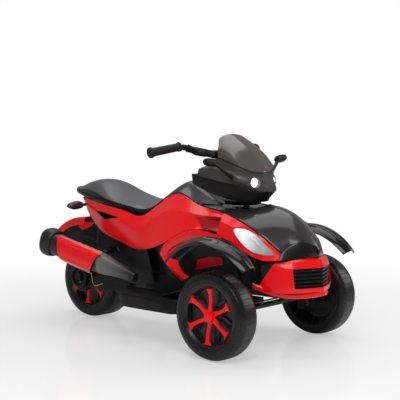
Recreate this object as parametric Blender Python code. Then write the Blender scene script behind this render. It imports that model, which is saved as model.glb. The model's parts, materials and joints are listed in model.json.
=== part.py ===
"""Three-wheel electric ride-on: two steered front wheels, one driven rear wheel.

Metres, +Z up. The front faces -Y and the rider's right side is -X. The origin is on the
ground, midway along and across the vehicle. Every piece is drawn from the front axle's
centre, which is where the empty called datum stands.
"""
import math

import bmesh
import bpy
from mathutils import Matrix, Vector

# Driving dimensions
TYRE_RADIUS = 0.150
FRONT_TYRE_WIDTH = 0.092
REAR_TYRE_WIDTH = 0.125
RIM_RADIUS = 0.1075
AXLE_RADIUS = 0.0060
HALF_TRACK = 0.2905
WHEELBASE = 0.877
FRONT_AXLE_Y = -0.418
COLUMN_RAKE = math.radians(20)
GAP = 0.0003
WALL = 0.004

# Facets round the wheels
TYRE_SIDES = 28
RIM_SIDES = TYRE_SIDES
SPOKES = 6
LEAF_SIDES = 6

# The axles stand where the tyres' flat facets touch the ground
AXLE_HEIGHT = TYRE_RADIUS * math.cos(math.pi / TYRE_SIDES)
RIGHT = -1
LEFT = 1

for old_object in list(bpy.data.objects):
    bpy.data.objects.remove(old_object, do_unlink=True)


# Materials
def look(name, colour, roughness, metallic=0.0):
    material = bpy.data.materials.new(name)
    material.use_nodes = True
    shader = material.node_tree.nodes["Principled BSDF"]
    shader.inputs["Base Color"].default_value = (*colour, 1.0)
    shader.inputs["Roughness"].default_value = roughness
    shader.inputs["Metallic"].default_value = metallic
    return material


RED_GLOSS = ((0.72, 0.012, 0.020), 0.22)
BLACK_MATT = ((0.018, 0.018, 0.020), 0.55)
BLACK_GLOSS = ((0.012, 0.012, 0.014), 0.20)
GREY_GLOSS = ((0.055, 0.055, 0.060), 0.22)
GREY_SATIN = ((0.060, 0.058, 0.060), 0.40)
TYRE_BLACK = ((0.022, 0.022, 0.024), 0.62)
CLEAR_LENS = ((0.85, 0.88, 0.92), 0.08)
SMOKED_LENS = ((0.040, 0.042, 0.048), 0.12)
STEEL = ((0.35, 0.35, 0.36), 0.35, 1.0)
BLACK_STEEL = ((0.020, 0.020, 0.022), 0.45, 0.6)
PALE_WIRE = ((0.75, 0.70, 0.35), 0.45)
BATTERY_GREY = ((0.10, 0.10, 0.11), 0.50)


# Pivots: empties that a moving piece hangs from, with their place in the datum's frame
place_of = {}


def pivot(name, location, rotation=(0.0, 0.0, 0.0), parent=None):
    empty = bpy.data.objects.new(name, None)
    bpy.context.scene.collection.objects.link(empty)
    empty.location = location
    empty.rotation_euler = rotation
    empty.parent = parent
    step = Matrix.Translation(location) @ Matrix.Rotation(rotation[0], 4, "X")
    place_of[name] = place_of[parent.name] @ step if parent else Matrix.Identity(4)
    return empty


datum = pivot("datum", (0.0, FRONT_AXLE_Y, AXLE_HEIGHT))


def keep(name, bm, finish, parent=datum, crease=32.0):
    """Turn a closed bmesh, drawn in the datum's frame, into a named object on its pivot."""
    bmesh.ops.remove_doubles(bm, verts=bm.verts, dist=1e-6)
    bmesh.ops.recalc_face_normals(bm, faces=bm.faces)
    mesh = bpy.data.meshes.new(name)
    bm.to_mesh(mesh)
    bm.free()
    mesh.transform(place_of[parent.name].inverted())
    mesh.shade_smooth()
    mesh.set_sharp_from_angle(angle=math.radians(crease))
    mesh.materials.append(look(name, *finish))
    solid = bpy.data.objects.new(name, mesh)
    solid.parent = parent
    bpy.context.scene.collection.objects.link(solid)
    return solid


def combine(base, tool, operation):
    """Join a hidden tool to a piece, or cut it out of the piece."""
    tool.hide_render = True
    tool.display_type = "WIRE"
    modifier = base.modifiers.new(tool.name, "BOOLEAN")
    modifier.operation = operation
    modifier.solver = "EXACT"
    modifier.object = tool
    return base


def fuse(base, tool):
    return combine(base, tool, "UNION")


def cut(base, tool):
    return combine(base, tool, "DIFFERENCE")


def soften(solid, width, segments=2):
    bevel = solid.modifiers.new("edges", "BEVEL")
    bevel.width = width
    bevel.segments = segments
    bevel.limit_method = "ANGLE"
    bevel.angle_limit = math.radians(40)
    return solid


# Curves and rings
def smooth(stations, y):
    """Values of the smooth curve through (y, value, ...) stations, held beyond its ends."""
    if y <= stations[0][0]:
        return list(stations[0][1:])
    if y >= stations[-1][0]:
        return list(stations[-1][1:])
    index = max(i for i, row in enumerate(stations[:-1]) if row[0] <= y)
    low = stations[index]
    high = stations[index + 1]
    before = stations[max(index - 1, 0)]
    after = stations[min(index + 2, len(stations) - 1)]
    step = high[0] - low[0]
    t = (y - low[0]) / step
    values = []
    for k in range(1, len(low)):
        slope_low = (high[k] - before[k]) / (high[0] - before[0]) * step
        slope_high = (after[k] - low[k]) / (after[0] - low[0]) * step
        rise = low[k] * (2 * t**3 - 3 * t**2 + 1) + high[k] * (3 * t**2 - 2 * t**3)
        bend = slope_low * (t**3 - 2 * t**2 + t) + slope_high * (t**3 - t**2)
        values.append(rise + bend)
    return values


def spread(low, high, steps):
    return [low + (high - low) * i / steps for i in range(steps + 1)]


def mix(a, b, t):
    return Vector(a) * (1 - t) + Vector(b) * t


def loft(name, rings, finish, parent=datum, crease=32.0):
    """Closed solid through a row of closed rings with flat ends."""
    bm = bmesh.new()
    loops = [[bm.verts.new(point) for point in ring] for ring in rings]
    count = len(loops[0])
    for low, high in zip(loops, loops[1:]):
        for i in range(count):
            j = (i + 1) % count
            bm.faces.new((low[i], low[j], high[j], high[i]))
    bm.faces.new(loops[0])
    bm.faces.new(loops[-1])
    return keep(name, bm, finish, parent, crease)


def turned(name, profile, sides, centre, finish, parent=datum, crease=32.0, axis=(1, 0, 0)):
    """Spin a closed (along the axis, radius) profile a full turn; vertex gaps face the ground."""
    bm = bmesh.new()
    along = Vector(axis).normalized()
    radial = along.orthogonal().normalized() if abs(along.x) < 0.9 else Vector((0, 0, 1))
    radial = Matrix.Rotation(math.pi / sides, 3, along) @ radial
    middle = Vector(centre)
    points = [bm.verts.new(middle + along * x + radial * r) for x, r in profile]
    edges = [bm.edges.new((a, b)) for a, b in zip(points, points[1:] + points[:1])]
    bmesh.ops.spin(bm, geom=points + edges, cent=middle, axis=along, angle=math.tau,
                   steps=sides, use_merge=True)
    return keep(name, bm, finish, parent, crease)


def tube(name, path, radii, sides, finish, parent=datum, flat=1.0):
    """Sweep a circle, or an ellipse flattened across its height, along a path."""
    rings = []
    up = Vector((0, 0, 1))
    for i, point in enumerate(path):
        ahead = Vector(path[min(i + 1, len(path) - 1)]) - Vector(path[max(i - 1, 0)])
        across = ahead.cross(up)
        if across.length < 1e-4:
            across = Vector((1, 0, 0))
        across.normalize()
        lift = across.cross(ahead).normalized()
        ring = []
        for k in range(sides):
            angle = math.tau * (k + 0.5) / sides
            offset = across * math.cos(angle) + lift * math.sin(angle) * flat
            ring.append(Vector(point) + offset * radii[i])
        rings.append(ring)
    return loft(name, rings, finish, parent)


def block(name, low, high, finish, parent=datum):
    bm = bmesh.new()
    bmesh.ops.create_cube(bm, size=1.0)
    size = Vector(high) - Vector(low)
    middle = (Vector(high) + Vector(low)) / 2
    bmesh.ops.scale(bm, vec=[abs(value) for value in size], verts=bm.verts)
    bmesh.ops.translate(bm, vec=middle, verts=bm.verts)
    return keep(name, bm, finish, parent)


def plate(name, outline, x_low, x_high, finish, parent=datum):
    """Flat plate with a (y, z) outline between two x planes."""
    ends = [[(x, y, z) for y, z in outline] for x in (x_low, x_high)]
    return loft(name, ends, finish, parent)


# The body's spine, which every moulded wall thickens towards
SPINE_FRONT = -0.060
SPINE = [(-0.06, 0.130), (0.20, 0.200), (0.45, 0.200), (0.70, 0.245), (0.90, 0.290)]


def inward(point):
    y = max(point.y, SPINE_FRONT)
    heart = Vector((0.0, y, smooth(SPINE, y)[0]))
    return (heart - point).normalized()


def trim(rows):
    """Draw the edges of a skin back by the gap, so that neighbours don't touch."""
    points = [[Vector(point) for point in row] for row in rows]
    for row in points:
        row[0] += (row[1] - row[0]).normalized() * GAP
        row[-1] += (row[-2] - row[-1]).normalized() * GAP
    for edge, beside in ((0, 1), (-1, -2)):
        for point, near in zip(points[edge], points[beside]):
            point += (near - point).normalized() * GAP
    return points


def shell(name, rows, finish, wall=WALL, parent=datum, heart=None, crease=32.0):
    """Moulded wall behind a grid of skin points."""
    points = trim(rows)
    bm = bmesh.new()
    outer = [[bm.verts.new(point) for point in row] for row in points]
    inner = []
    for row in points:
        backs = []
        for point in row:
            way = (Vector(heart) - point).normalized() if heart else inward(point)
            backs.append(bm.verts.new(point + way * wall))
        inner.append(backs)
    last = len(rows) - 1
    end = len(rows[0]) - 1
    for i in range(last):
        for j in range(end):
            bm.faces.new((outer[i][j], outer[i + 1][j], outer[i + 1][j + 1], outer[i][j + 1]))
            bm.faces.new((inner[i][j], inner[i][j + 1], inner[i + 1][j + 1], inner[i + 1][j]))
    rim = [(0, j) for j in range(end)] + [(i, end) for i in range(last)]
    rim += [(last, j) for j in range(end, 0, -1)] + [(i, 0) for i in range(last, 0, -1)]
    for (a, b), (c, d) in zip(rim, rim[1:] + rim[:1]):
        bm.faces.new((outer[a][b], outer[c][d], inner[c][d], inner[a][b]))
    return keep(name, bm, finish, parent, crease)


# Wheels
TYRE_SHOULDER = 0.018
RIM_LIP = 0.009
HUB_RADIUS = 0.0205
BORE_CLEARANCE = 0.0005
SPOKE_THICKNESS = 0.008
SPOKE_STATIONS = [
    (0.024, 0.0075, 0.0075),
    (0.050, 0.0052, 0.0062),
    (0.074, 0.0052, 0.0068),
    (0.087, 0.0080, 0.0100),
    (0.0935, 0.0125, 0.0190),
]
SPOKE_SWIRL = 0.006


def tyre_profile(half):
    side = [
        (half - 0.003, RIM_RADIUS + GAP),
        (half, RIM_RADIUS + 0.010),
        (half, TYRE_RADIUS - TYRE_SHOULDER),
        (half - 0.006, TYRE_RADIUS - 0.007),
        (half - TYRE_SHOULDER, TYRE_RADIUS - 0.0008),
        (half - TYRE_SHOULDER - 0.010, TYRE_RADIUS),
    ]
    return side + [(-x, r) for x, r in reversed(side)]


def rim_profile(half, out):
    """Deep dish on the outer side, hub in the middle, open channel on the inner side."""
    bore = AXLE_RADIUS + BORE_CLEARANCE
    lip = half - 0.004
    profile = [
        (-lip, RIM_RADIUS),
        (lip, RIM_RADIUS),
        (lip - 0.008, RIM_RADIUS - RIM_LIP),
        (half - 0.034, RIM_RADIUS - 0.014),
        (half - 0.038, 0.034),
        (half - 0.022, bore),
        (-half + 0.008, bore),
        (-half + 0.008, 0.022),
        (half - 0.046, 0.030),
        (half - 0.042, RIM_RADIUS - 0.019),
        (-lip + 0.004, RIM_RADIUS - RIM_LIP),
    ]
    return [(x * out, r) for x, r in profile]


def spoke_star(name, centre, half, out, finish, parent):
    """Six swirling spokes with boot-shaped feet round a raised hub cap."""
    bm = bmesh.new()
    middle = Vector(centre)
    face = half - 0.022 + GAP

    def spot(angle, r, aside):
        lean = SPOKE_SWIRL * math.sin(math.pi * (r - 0.024) / 0.080)
        y = r * math.sin(angle) + (aside + lean) * math.cos(angle)
        z = r * math.cos(angle) - (aside + lean) * math.sin(angle)
        rise = 0.011 * (r / RIM_RADIUS) ** 2
        return bm.verts.new(middle + Vector((out * (face + rise), y * out, z)))

    hub = []
    faces = []
    for spoke in range(SPOKES):
        angle = math.tau * spoke / SPOKES
        pairs = [(spot(angle, r, -a), spot(angle, r, b)) for r, a, b in SPOKE_STATIONS]
        hub += [pairs[0][0], pairs[0][1]]
        hub.append(spot(angle + math.pi / SPOKES, HUB_RADIUS, 0.0))
        for (a, b), (c, d) in zip(pairs, pairs[1:]):
            faces.append(bm.faces.new((a, b, d, c)))
    faces.append(bm.faces.new(hub))
    bmesh.ops.recalc_face_normals(bm, faces=faces)
    grown = bmesh.ops.extrude_face_region(bm, geom=faces, use_keep_orig=True)
    moved = [item for item in grown["geom"] if isinstance(item, bmesh.types.BMVert)]
    bmesh.ops.translate(bm, vec=(out * SPOKE_THICKNESS, 0, 0), verts=moved)
    return keep(name, bm, finish, parent)


def dish_leaves(name, centre, half, out, finish, parent):
    """Leaf-shaped blades that stand on the rim's dish between the spokes."""
    bm = bmesh.new()
    middle = Vector(centre)
    foot = half - 0.041
    top = half - 0.029
    for leaf in range(SPOKES):
        angle = math.tau * (leaf + 0.62) / SPOKES
        ring_low = []
        ring_high = []
        for k in range(LEAF_SIDES):
            turn = math.tau * k / LEAF_SIDES
            r = 0.060 + 0.027 * math.cos(turn)
            aside = 0.0075 * math.sin(turn) + 0.010 * math.cos(turn)
            y = (r * math.sin(angle) + aside * math.cos(angle)) * out
            z = r * math.cos(angle) - aside * math.sin(angle)
            ring_low.append(bm.verts.new(middle + Vector((out * foot, y, z))))
            ring_high.append(bm.verts.new(middle + Vector((out * top, y, z))))
        for k in range(LEAF_SIDES):
            j = (k + 1) % LEAF_SIDES
            bm.faces.new((ring_low[k], ring_low[j], ring_high[j], ring_high[k]))
        bm.faces.new(ring_low)
        bm.faces.new(ring_high)
    return keep(name, bm, finish, parent)


def wheel(prefix, centre, width, out):
    hub = pivot(prefix + "_wheel_pivot", centre, parent=datum)
    half = width / 2
    turned(prefix + "_tyre", tyre_profile(half), TYRE_SIDES, centre, TYRE_BLACK, hub)
    rim = turned(prefix + "_rim", rim_profile(half, out), RIM_SIDES, centre, BLACK_GLOSS, hub)
    leaves = dish_leaves(prefix + "_dish_leaves", centre, half, out, BLACK_GLOSS, hub)
    fuse(rim, leaves)
    return spoke_star(prefix + "_spoke_trim", centre, half, out, RED_GLOSS, hub)


wheel("front_right", (-HALF_TRACK, 0.0, 0.0), FRONT_TYRE_WIDTH, RIGHT)
wheel("front_left", (HALF_TRACK, 0.0, 0.0), FRONT_TYRE_WIDTH, LEFT)
rear_star = wheel("rear", (0.0, WHEELBASE, 0.0), REAR_TYRE_WIDTH, RIGHT)


# Rails that neighbouring panels share: (y, half width, height)
BELT = [
    (-0.150, 0.108, 0.190),
    (-0.057, 0.150, 0.274),
    (0.080, 0.145, 0.326),
    (0.207, 0.132, 0.346),
    (0.332, 0.105, 0.383),
    (0.403, 0.103, 0.362),
    (0.500, 0.128, 0.285),
    (0.581, 0.130, 0.302),
    (0.731, 0.112, 0.319),
    (0.916, 0.045, 0.340),
]
SILL = [
    (-0.157, 0.115, 0.179),
    (-0.075, 0.170, 0.181),
    (0.033, 0.190, 0.241),
    (0.151, 0.198, 0.269),
    (0.231, 0.198, 0.256),
    (0.365, 0.190, 0.192),
    (0.521, 0.142, 0.164),
    (0.610, 0.130, 0.183),
    (0.743, 0.110, 0.214),
    (0.871, 0.070, 0.288),
    (0.905, 0.050, 0.328),
]
# Height of the hood and the knee cover along the middle: (y, height)
CREST = [
    (-0.205, 0.221),
    (-0.135, 0.297),
    (-0.050, 0.344),
    (0.000, 0.354),
    (0.060, 0.338),
    (0.205, 0.342),
    (0.272, 0.370),
    (0.335, 0.411),
    (0.375, 0.422),
    (0.420, 0.393),
    (0.455, 0.340),
]
CREST_HALF_WIDTH = 0.026
HOOD_REAR = 0.205
PANEL_FRONT = -0.137
PANEL_SPLIT = 0.440
HOOD_STEPS = 8
KNEE_STEPS = 6
TAIL_END = 0.900
COLUMN_RADIUS = 0.011
COLUMN_SIDES = 20
COLUMN_HOLE = 0.030
MUDGUARD_RADIUS = 0.2517

# The steering column leans back over the front axle
COLUMN_FOOT = Vector((0.0, 0.0, 0.0520))
COLUMN_WAY = Vector((0.0, math.sin(COLUMN_RAKE), math.cos(COLUMN_RAKE)))
steering = pivot("steering_axis", COLUMN_FOOT, (-COLUMN_RAKE, 0.0, 0.0), datum)


def on_column(height):
    """Point on the column's axis at a height above the axle."""
    return COLUMN_FOOT + COLUMN_WAY * ((height - COLUMN_FOOT.z) / COLUMN_WAY.z)


def rod(name, low, high, radius, finish, sides=12, parent=datum):
    return tube(name, [low, high], [radius, radius], sides, finish, parent)


# Front axle beam with an ear above and below each knuckle, and a kingpin between them
BEAM_RADIUS = 0.010
EAR_THICKNESS = 0.006
KNUCKLE_HALF_HEIGHT = 0.038
KNUCKLE_RADIUS = 0.015
KINGPIN_RADIUS = 0.0055
KINGPIN_X = HALF_TRACK - FRONT_TYRE_WIDTH / 2 - 0.022
EAR_REACH = 0.030
ARM_LENGTH = 0.070
ARM_HEIGHT = KNUCKLE_HALF_HEIGHT - 0.006
SPINDLE_END = 0.024

beam = rod("front_beam", (-KINGPIN_X + EAR_REACH, 0, 0), (KINGPIN_X - EAR_REACH, 0, 0),
           BEAM_RADIUS, BLACK_STEEL)
ear_top = KNUCKLE_HALF_HEIGHT + GAP + EAR_THICKNESS
for side in (RIGHT, LEFT):
    near = side * (KINGPIN_X - EAR_REACH - 0.006)
    web = side * (KINGPIN_X - EAR_REACH + 0.002)
    far = side * (KINGPIN_X + 0.010)
    fuse(beam, block("beam_web", (near, -0.012, -ear_top), (web, 0.012, ear_top), BLACK_STEEL))
    for z in (ear_top - EAR_THICKNESS, -ear_top):
        ear = block("beam_ear", (near, -0.011, z), (far, 0.011, z + EAR_THICKNESS), BLACK_STEEL)
        fuse(beam, ear)
    pin_x = side * KINGPIN_X
    pin_ends = ((pin_x, 0, -ear_top - 0.003), (pin_x, 0, ear_top + 0.003))
    fuse(beam, rod("kingpin", *pin_ends, KINGPIN_RADIUS, BLACK_STEEL))

# Knuckles: kingpin sleeve, wheel spindle and a steering arm that points forward
for side, word in ((RIGHT, "right"), (LEFT, "left")):
    x = side * KINGPIN_X
    swivel = pivot(word + "_kingpin_axis", (x, 0.0, 0.0), parent=datum)
    sleeve = [
        (-KNUCKLE_HALF_HEIGHT, KINGPIN_RADIUS + BORE_CLEARANCE),
        (KNUCKLE_HALF_HEIGHT, KINGPIN_RADIUS + BORE_CLEARANCE),
        (KNUCKLE_HALF_HEIGHT, KNUCKLE_RADIUS),
        (-KNUCKLE_HALF_HEIGHT, KNUCKLE_RADIUS),
    ]
    knuckle = turned(word + "_knuckle", sleeve, 12, (x, 0, 0), BLACK_STEEL, swivel, axis=(0, 0, 1))
    root = x + side * (KNUCKLE_RADIUS - 0.004)
    tip = side * (HALF_TRACK + FRONT_TYRE_WIDTH / 2 - SPINDLE_END)
    fuse(knuckle, rod("spindle", (root, 0, 0), (tip, 0, 0), AXLE_RADIUS, STEEL, parent=swivel))
    collar = side * (HALF_TRACK - FRONT_TYRE_WIDTH / 2 + 0.008 - GAP)
    fuse(knuckle, rod("spindle_collar", (root, 0, 0), (collar, 0, 0), 0.011, STEEL, parent=swivel))
    fuse(knuckle, block("steering_arm", (x - 0.008, -ARM_LENGTH - 0.010, ARM_HEIGHT - 0.006),
                        (x + 0.008, -KNUCKLE_RADIUS + 0.004, ARM_HEIGHT), BLACK_STEEL, swivel))

# Tie rod lies on the steering arms; the column's crank lies on the tie rod's middle
TIE_ROD_RADIUS = 0.004
TIE_END_THICKNESS = 0.006
tie_low = ARM_HEIGHT + GAP
tie_high = tie_low + TIE_END_THICKNESS
tie_middle = (tie_low + tie_high) / 2
tie_rod = rod("tie_rod", (-KINGPIN_X, -ARM_LENGTH, tie_middle), (KINGPIN_X, -ARM_LENGTH, tie_middle),
              TIE_ROD_RADIUS * 0.7, BLACK_STEEL, 12)
for x in (-KINGPIN_X, 0.0, KINGPIN_X):
    fuse(tie_rod, block("tie_end", (x - 0.010, -ARM_LENGTH - 0.009, tie_low),
                        (x + 0.010, -ARM_LENGTH + 0.009, tie_high), BLACK_STEEL))

# Steering column, from its crank up to the handlebar
HANDLEBAR_HEIGHT = 0.522
BAR_RADIUS = 0.0125
CRANK_THICKNESS = 0.006
CRANK_CLEARANCE = 0.0030
column_top = on_column(HANDLEBAR_HEIGHT) - COLUMN_WAY * (BAR_RADIUS + GAP)
crank_low = tie_high + CRANK_CLEARANCE
column = rod("steering_column", on_column(crank_low + 0.006), column_top, COLUMN_RADIUS, BLACK_STEEL,
             COLUMN_SIDES, steering)
fuse(column, block("crank", (-0.011, -ARM_LENGTH - 0.009, crank_low),
                   (0.011, 0.012, crank_low + CRANK_THICKNESS), BLACK_STEEL, steering))

# Main frame: two long rails, cross tubes under the footrests, and a rear cross plate
FRAME_RAIL_X = 0.070
FRAME_TUBE = 0.024
FRAME_FRONT = -0.020
FRAME_REAR = 0.600
FOOT_CROSS_Y = (0.215, 0.415)
FOOT_OUTER = 0.285
frame_low = BEAM_RADIUS + GAP
frame_high = frame_low + FRAME_TUBE
half_tube = FRAME_TUBE / 2
main_frame = block("main_frame", (-FRAME_RAIL_X - half_tube, FRAME_FRONT, frame_low),
                   (-FRAME_RAIL_X + half_tube, FRAME_REAR, frame_high), BLACK_STEEL)
fuse(main_frame, block("frame_rail", (FRAME_RAIL_X - half_tube, FRAME_FRONT, frame_low),
                       (FRAME_RAIL_X + half_tube, FRAME_REAR, frame_high), BLACK_STEEL))
FOOT_DROP = 0.0240
for y in FOOT_CROSS_Y:
    fuse(main_frame, block("foot_cross_tube", (-FOOT_OUTER, y - 0.010, frame_low - FOOT_DROP),
                           (FOOT_OUTER, y + 0.010, frame_low + 0.004), BLACK_STEEL))
fuse(main_frame, block("rear_cross_plate", (-0.082, FRAME_REAR - 0.006, -0.020),
                       (0.082, FRAME_REAR, frame_high), BLACK_STEEL))

# Rear fork, axle, gearbox and the motor's wire
ARM_THICKNESS = 0.012
ARM_INNER = REAR_TYRE_WIDTH / 2 + 0.0235
GEARBOX_RADIUS = 0.060
GEARBOX_LIFT = 0.018
GEARBOX_SIDES = 18
fork_front = FRAME_REAR + GAP
fork = block("swingarm", (-ARM_INNER - ARM_THICKNESS, fork_front, -0.018),
             (ARM_INNER + ARM_THICKNESS, fork_front + 0.030, 0.030), BLACK_MATT)
arm_outline = [(fork_front + 0.004, -0.018), (fork_front + 0.004, 0.034), (fork_front + 0.060, 0.046),
               (WHEELBASE, 0.020), (WHEELBASE + 0.022, 0.012), (WHEELBASE + 0.022, -0.012),
               (WHEELBASE, -0.020)]
for side in (RIGHT, LEFT):
    inner = side * ARM_INNER
    outer = side * (ARM_INNER + ARM_THICKNESS)
    fuse(fork, plate("fork_arm", arm_outline, min(inner, outer), max(inner, outer), BLACK_MATT))
hub_face = REAR_TYRE_WIDTH / 2
gear_inner = -(hub_face + 0.0060)
gear_profile = [
    (gear_inner, 0.010),
    (gear_inner, GEARBOX_RADIUS * 0.92),
    (gear_inner - 0.004, GEARBOX_RADIUS),
    (gear_inner - 0.024, GEARBOX_RADIUS),
    (gear_inner - 0.028, GEARBOX_RADIUS * 0.93),
    (gear_inner - 0.028, GEARBOX_RADIUS * 0.80),
    (gear_inner - 0.040, GEARBOX_RADIUS * 0.78),
    (gear_inner - 0.042, GEARBOX_RADIUS * 0.74),
    (gear_inner - 0.042, GEARBOX_RADIUS * 0.58),
    (gear_inner - 0.036, GEARBOX_RADIUS * 0.54),
    (gear_inner - 0.036, GEARBOX_RADIUS * 0.34),
    (gear_inner - 0.046, GEARBOX_RADIUS * 0.30),
    (gear_inner - 0.046, 0.010),
]
gear_solid = [(x, r) for x, r in gear_profile if r > 0.010]
gear_rings = []
for x, r in gear_solid:
    gear_rings.append([(x, WHEELBASE + r * math.sin(math.tau * k / GEARBOX_SIDES),
                        GEARBOX_LIFT + r * math.cos(math.tau * k / GEARBOX_SIDES)) for k in range(GEARBOX_SIDES)])
gearbox = loft("gearbox_housing", gear_rings, BLACK_MATT)
axle_hole = rod("axle_hole", (-0.2, WHEELBASE, 0), (gear_inner + 0.001, WHEELBASE, 0),
                AXLE_RADIUS + BORE_CLEARANCE, BLACK_MATT, 20)
cut(gearbox, axle_hole)
recess = rod("gearbox_seat", (-0.2, WHEELBASE, GEARBOX_LIFT), (-ARM_INNER + 0.004, WHEELBASE, GEARBOX_LIFT),
             GEARBOX_RADIUS + 3 * GAP, BLACK_MATT, 32)
cut(fork, recess)
cut(fork, rod("left_axle_hole", (ARM_INNER - 0.01, WHEELBASE, 0), (0.2, WHEELBASE, 0),
              AXLE_RADIUS + BORE_CLEARANCE, BLACK_MATT, 20))
AXLE_END = ARM_INNER + ARM_THICKNESS + 0.004
rod("rear_axle", (-AXLE_END, WHEELBASE, 0), (AXLE_END, WHEELBASE, 0), AXLE_RADIUS, STEEL)

# The motor's thin wire leaves the gearbox, loops down and runs into the fork's right arm
WIRE_RADIUS = 0.0016
wire_x = -ARM_INNER - ARM_THICKNESS - WIRE_RADIUS - 2 * GAP
wire_route = [
    (wire_x, WHEELBASE - GEARBOX_RADIUS * 0.98 - 0.0040, GEARBOX_LIFT + 0.022),
    (wire_x - 0.004, WHEELBASE - GEARBOX_RADIUS - 0.012, GEARBOX_LIFT + 0.004),
    (wire_x - 0.005, WHEELBASE - GEARBOX_RADIUS - 0.022, GEARBOX_LIFT - 0.020),
    (wire_x - 0.004, WHEELBASE - GEARBOX_RADIUS - 0.036, GEARBOX_LIFT - 0.026),
    (wire_x - 0.001, WHEELBASE - GEARBOX_RADIUS - 0.052, GEARBOX_LIFT - 0.020),
    (wire_x, WHEELBASE - GEARBOX_RADIUS - 0.070, GEARBOX_LIFT - 0.014),
]
wire_steps = 15
wire_table = [(i, *point) for i, point in enumerate(wire_route)]
wire_points = [smooth(wire_table, t) for t in spread(0, len(wire_route) - 1, wire_steps)]
tube("motor_cable", [Vector(point) for point in wire_points], [WIRE_RADIUS] * len(wire_points), 6,
     PALE_WIRE)
cut(rear_star, rod("star_axle_hole", (-0.1, WHEELBASE, 0), (0.0, WHEELBASE, 0),
                   AXLE_RADIUS + BORE_CLEARANCE, RED_GLOSS, 20))

# Front panels
HOOD_SEAM = [(0.0, -0.205), (0.35, -0.186), (0.70, -0.152), (1.0, PANEL_FRONT)]
NOSE_PLAN = [(0.0, 0.0), (0.060, 0.022), (0.115, 0.058), (0.140, 0.110), (0.150, 0.150)]
NOSE_FRONT = -0.208
NOSE_BULGE = 0.006
BAND_FRONT = -0.230
BAND_TOP = 0.184
BAND_LOW = 0.154
GRILLE_LOW = 0.085
BUMPER_LOW = 0.070
BUMPER_DROP = 0.013
CHEEK_RISE = 0.30
SCOOP_FRONT = 0.086
SCOOP_LENGTH = 0.125
SCOOP_DEPTH = 0.016


def belt(side, y):
    half_width, height = smooth(BELT, y)
    return Vector((side * half_width, y, height))


def sill(side, y):
    half_width, height = smooth(SILL, y)
    return Vector((side * half_width, y, height))


def top_point(across, y, bulge):
    """Skin between the two belt rails: a raised crest with falling flanks; across is -1 to 1."""
    side = 1 if across >= 0 else -1
    crest_fold = 0.22
    ridge = Vector((side * CREST_HALF_WIDTH, y, smooth(CREST, y)[0] - 0.004))
    share = abs(across)
    if share <= crest_fold:
        part = share / crest_fold
        return Vector((ridge.x * part, y, ridge.z + 0.004 * (1 - part * part)))
    t = (share - crest_fold) / (1 - crest_fold)
    point = mix(ridge, belt(side, y), t)
    point.z += bulge * math.sin(math.pi * t)
    return point


def hood_seam(across):
    return smooth(HOOD_SEAM, abs(across))[0]


ACROSS = (-1.0, -0.75, -0.45, -0.22, -0.1, 0.0, 0.1, 0.22, 0.45, 0.75, 1.0)
hood_rows = []
for along in spread(0.0, 1.0, HOOD_STEPS):
    row = []
    for across in ACROSS:
        y = hood_seam(across) * (1 - along) + HOOD_REAR * along
        row.append(top_point(across, y, 0.010 * (1 - along) + 0.002))
    hood_rows.append(row)
hood = shell("hood", hood_rows, GREY_GLOSS, crease=20.0)
column_bore = rod("column_bore", on_column(0.10), on_column(0.40), COLUMN_HOLE, BLACK_MATT, 24)
cut(hood, column_bore)

knee_rows = []
for y in spread(HOOD_REAR, PANEL_SPLIT, KNEE_STEPS):
    knee_rows.append([top_point(across, y, 0.006) for across in ACROSS])
shell("knee_cover", knee_rows, BLACK_GLOSS)


def nose_plan(across, front, reach=1.0):
    """Point on the rounded plan outline of the nose; across is -1 to 1 over the front face."""
    place = smooth([(i, *point) for i, point in enumerate(NOSE_PLAN)], abs(across) * 4 * reach)
    side = 1 if across >= 0 else -1
    return side * place[0], front + place[1]


nose_rows = []
for down in spread(0.0, 1.0, 3):
    row = []
    for across in ACROSS:
        top = top_point(across, hood_seam(across), 0.012)
        x, y = nose_plan(across, NOSE_FRONT, 0.48)
        low = Vector((x, y, BAND_TOP))
        if abs(across) == 1.0:
            low = sill(across, PANEL_FRONT)
        point = mix(top, low, down)
        point.y -= NOSE_BULGE * math.sin(math.pi * down) * (1 - abs(across))
        row.append(point)
    nose_rows.append(row)
shell("nose_cap", nose_rows, BLACK_GLOSS)

# Bumper: band, cheeks and chin in one skin, with the grille's opening cut out and a lip below
BUMPER_ACROSS = spread(-1.0, 1.0, 14)
bumper_levels = [
    (BAND_TOP - 3 * GAP, NOSE_FRONT - GAP, 1.0),
    (BAND_TOP - 0.006, NOSE_FRONT - 0.012, 1.0),
    (BAND_LOW, BAND_FRONT, 1.0),
    (0.120, BAND_FRONT - 0.001, 1.03),
    (GRILLE_LOW, BAND_FRONT - 0.002, 1.06),
    (BUMPER_LOW, BAND_FRONT - 0.001, 1.06),
]
bumper_rows = []
for z, front, widen in bumper_levels:
    row = []
    for across in BUMPER_ACROSS:
        x, y = nose_plan(across, front)
        drop = BUMPER_DROP * min(max(abs(across) - 0.38, 0) / 0.12, 1) if z > BAND_LOW else 0
        sweep_up = CHEEK_RISE * max(abs(across) - 0.75, 0) * (BAND_TOP - z)
        row.append(Vector((x * widen, y, z - drop + sweep_up)))
    bumper_rows.append(row)
bumper = shell("front_bumper", bumper_rows, RED_GLOSS, heart=(0.0, 0.02, 0.125))
GRILLE_HALF = 0.106
opening = block("grille_opening", (-GRILLE_HALF, -0.30, GRILLE_LOW), (GRILLE_HALF, -0.10, BAND_LOW - 0.002),
                BLACK_MATT)
cut(bumper, opening)
LIP_RAIL = [(0.0, 0.0, -0.238, 0.062), (1.0, 0.070, -0.202, 0.058), (2.0, 0.130, -0.136, 0.062),
            (3.0, 0.176, -0.062, 0.092)]
lip_rings = []
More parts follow.
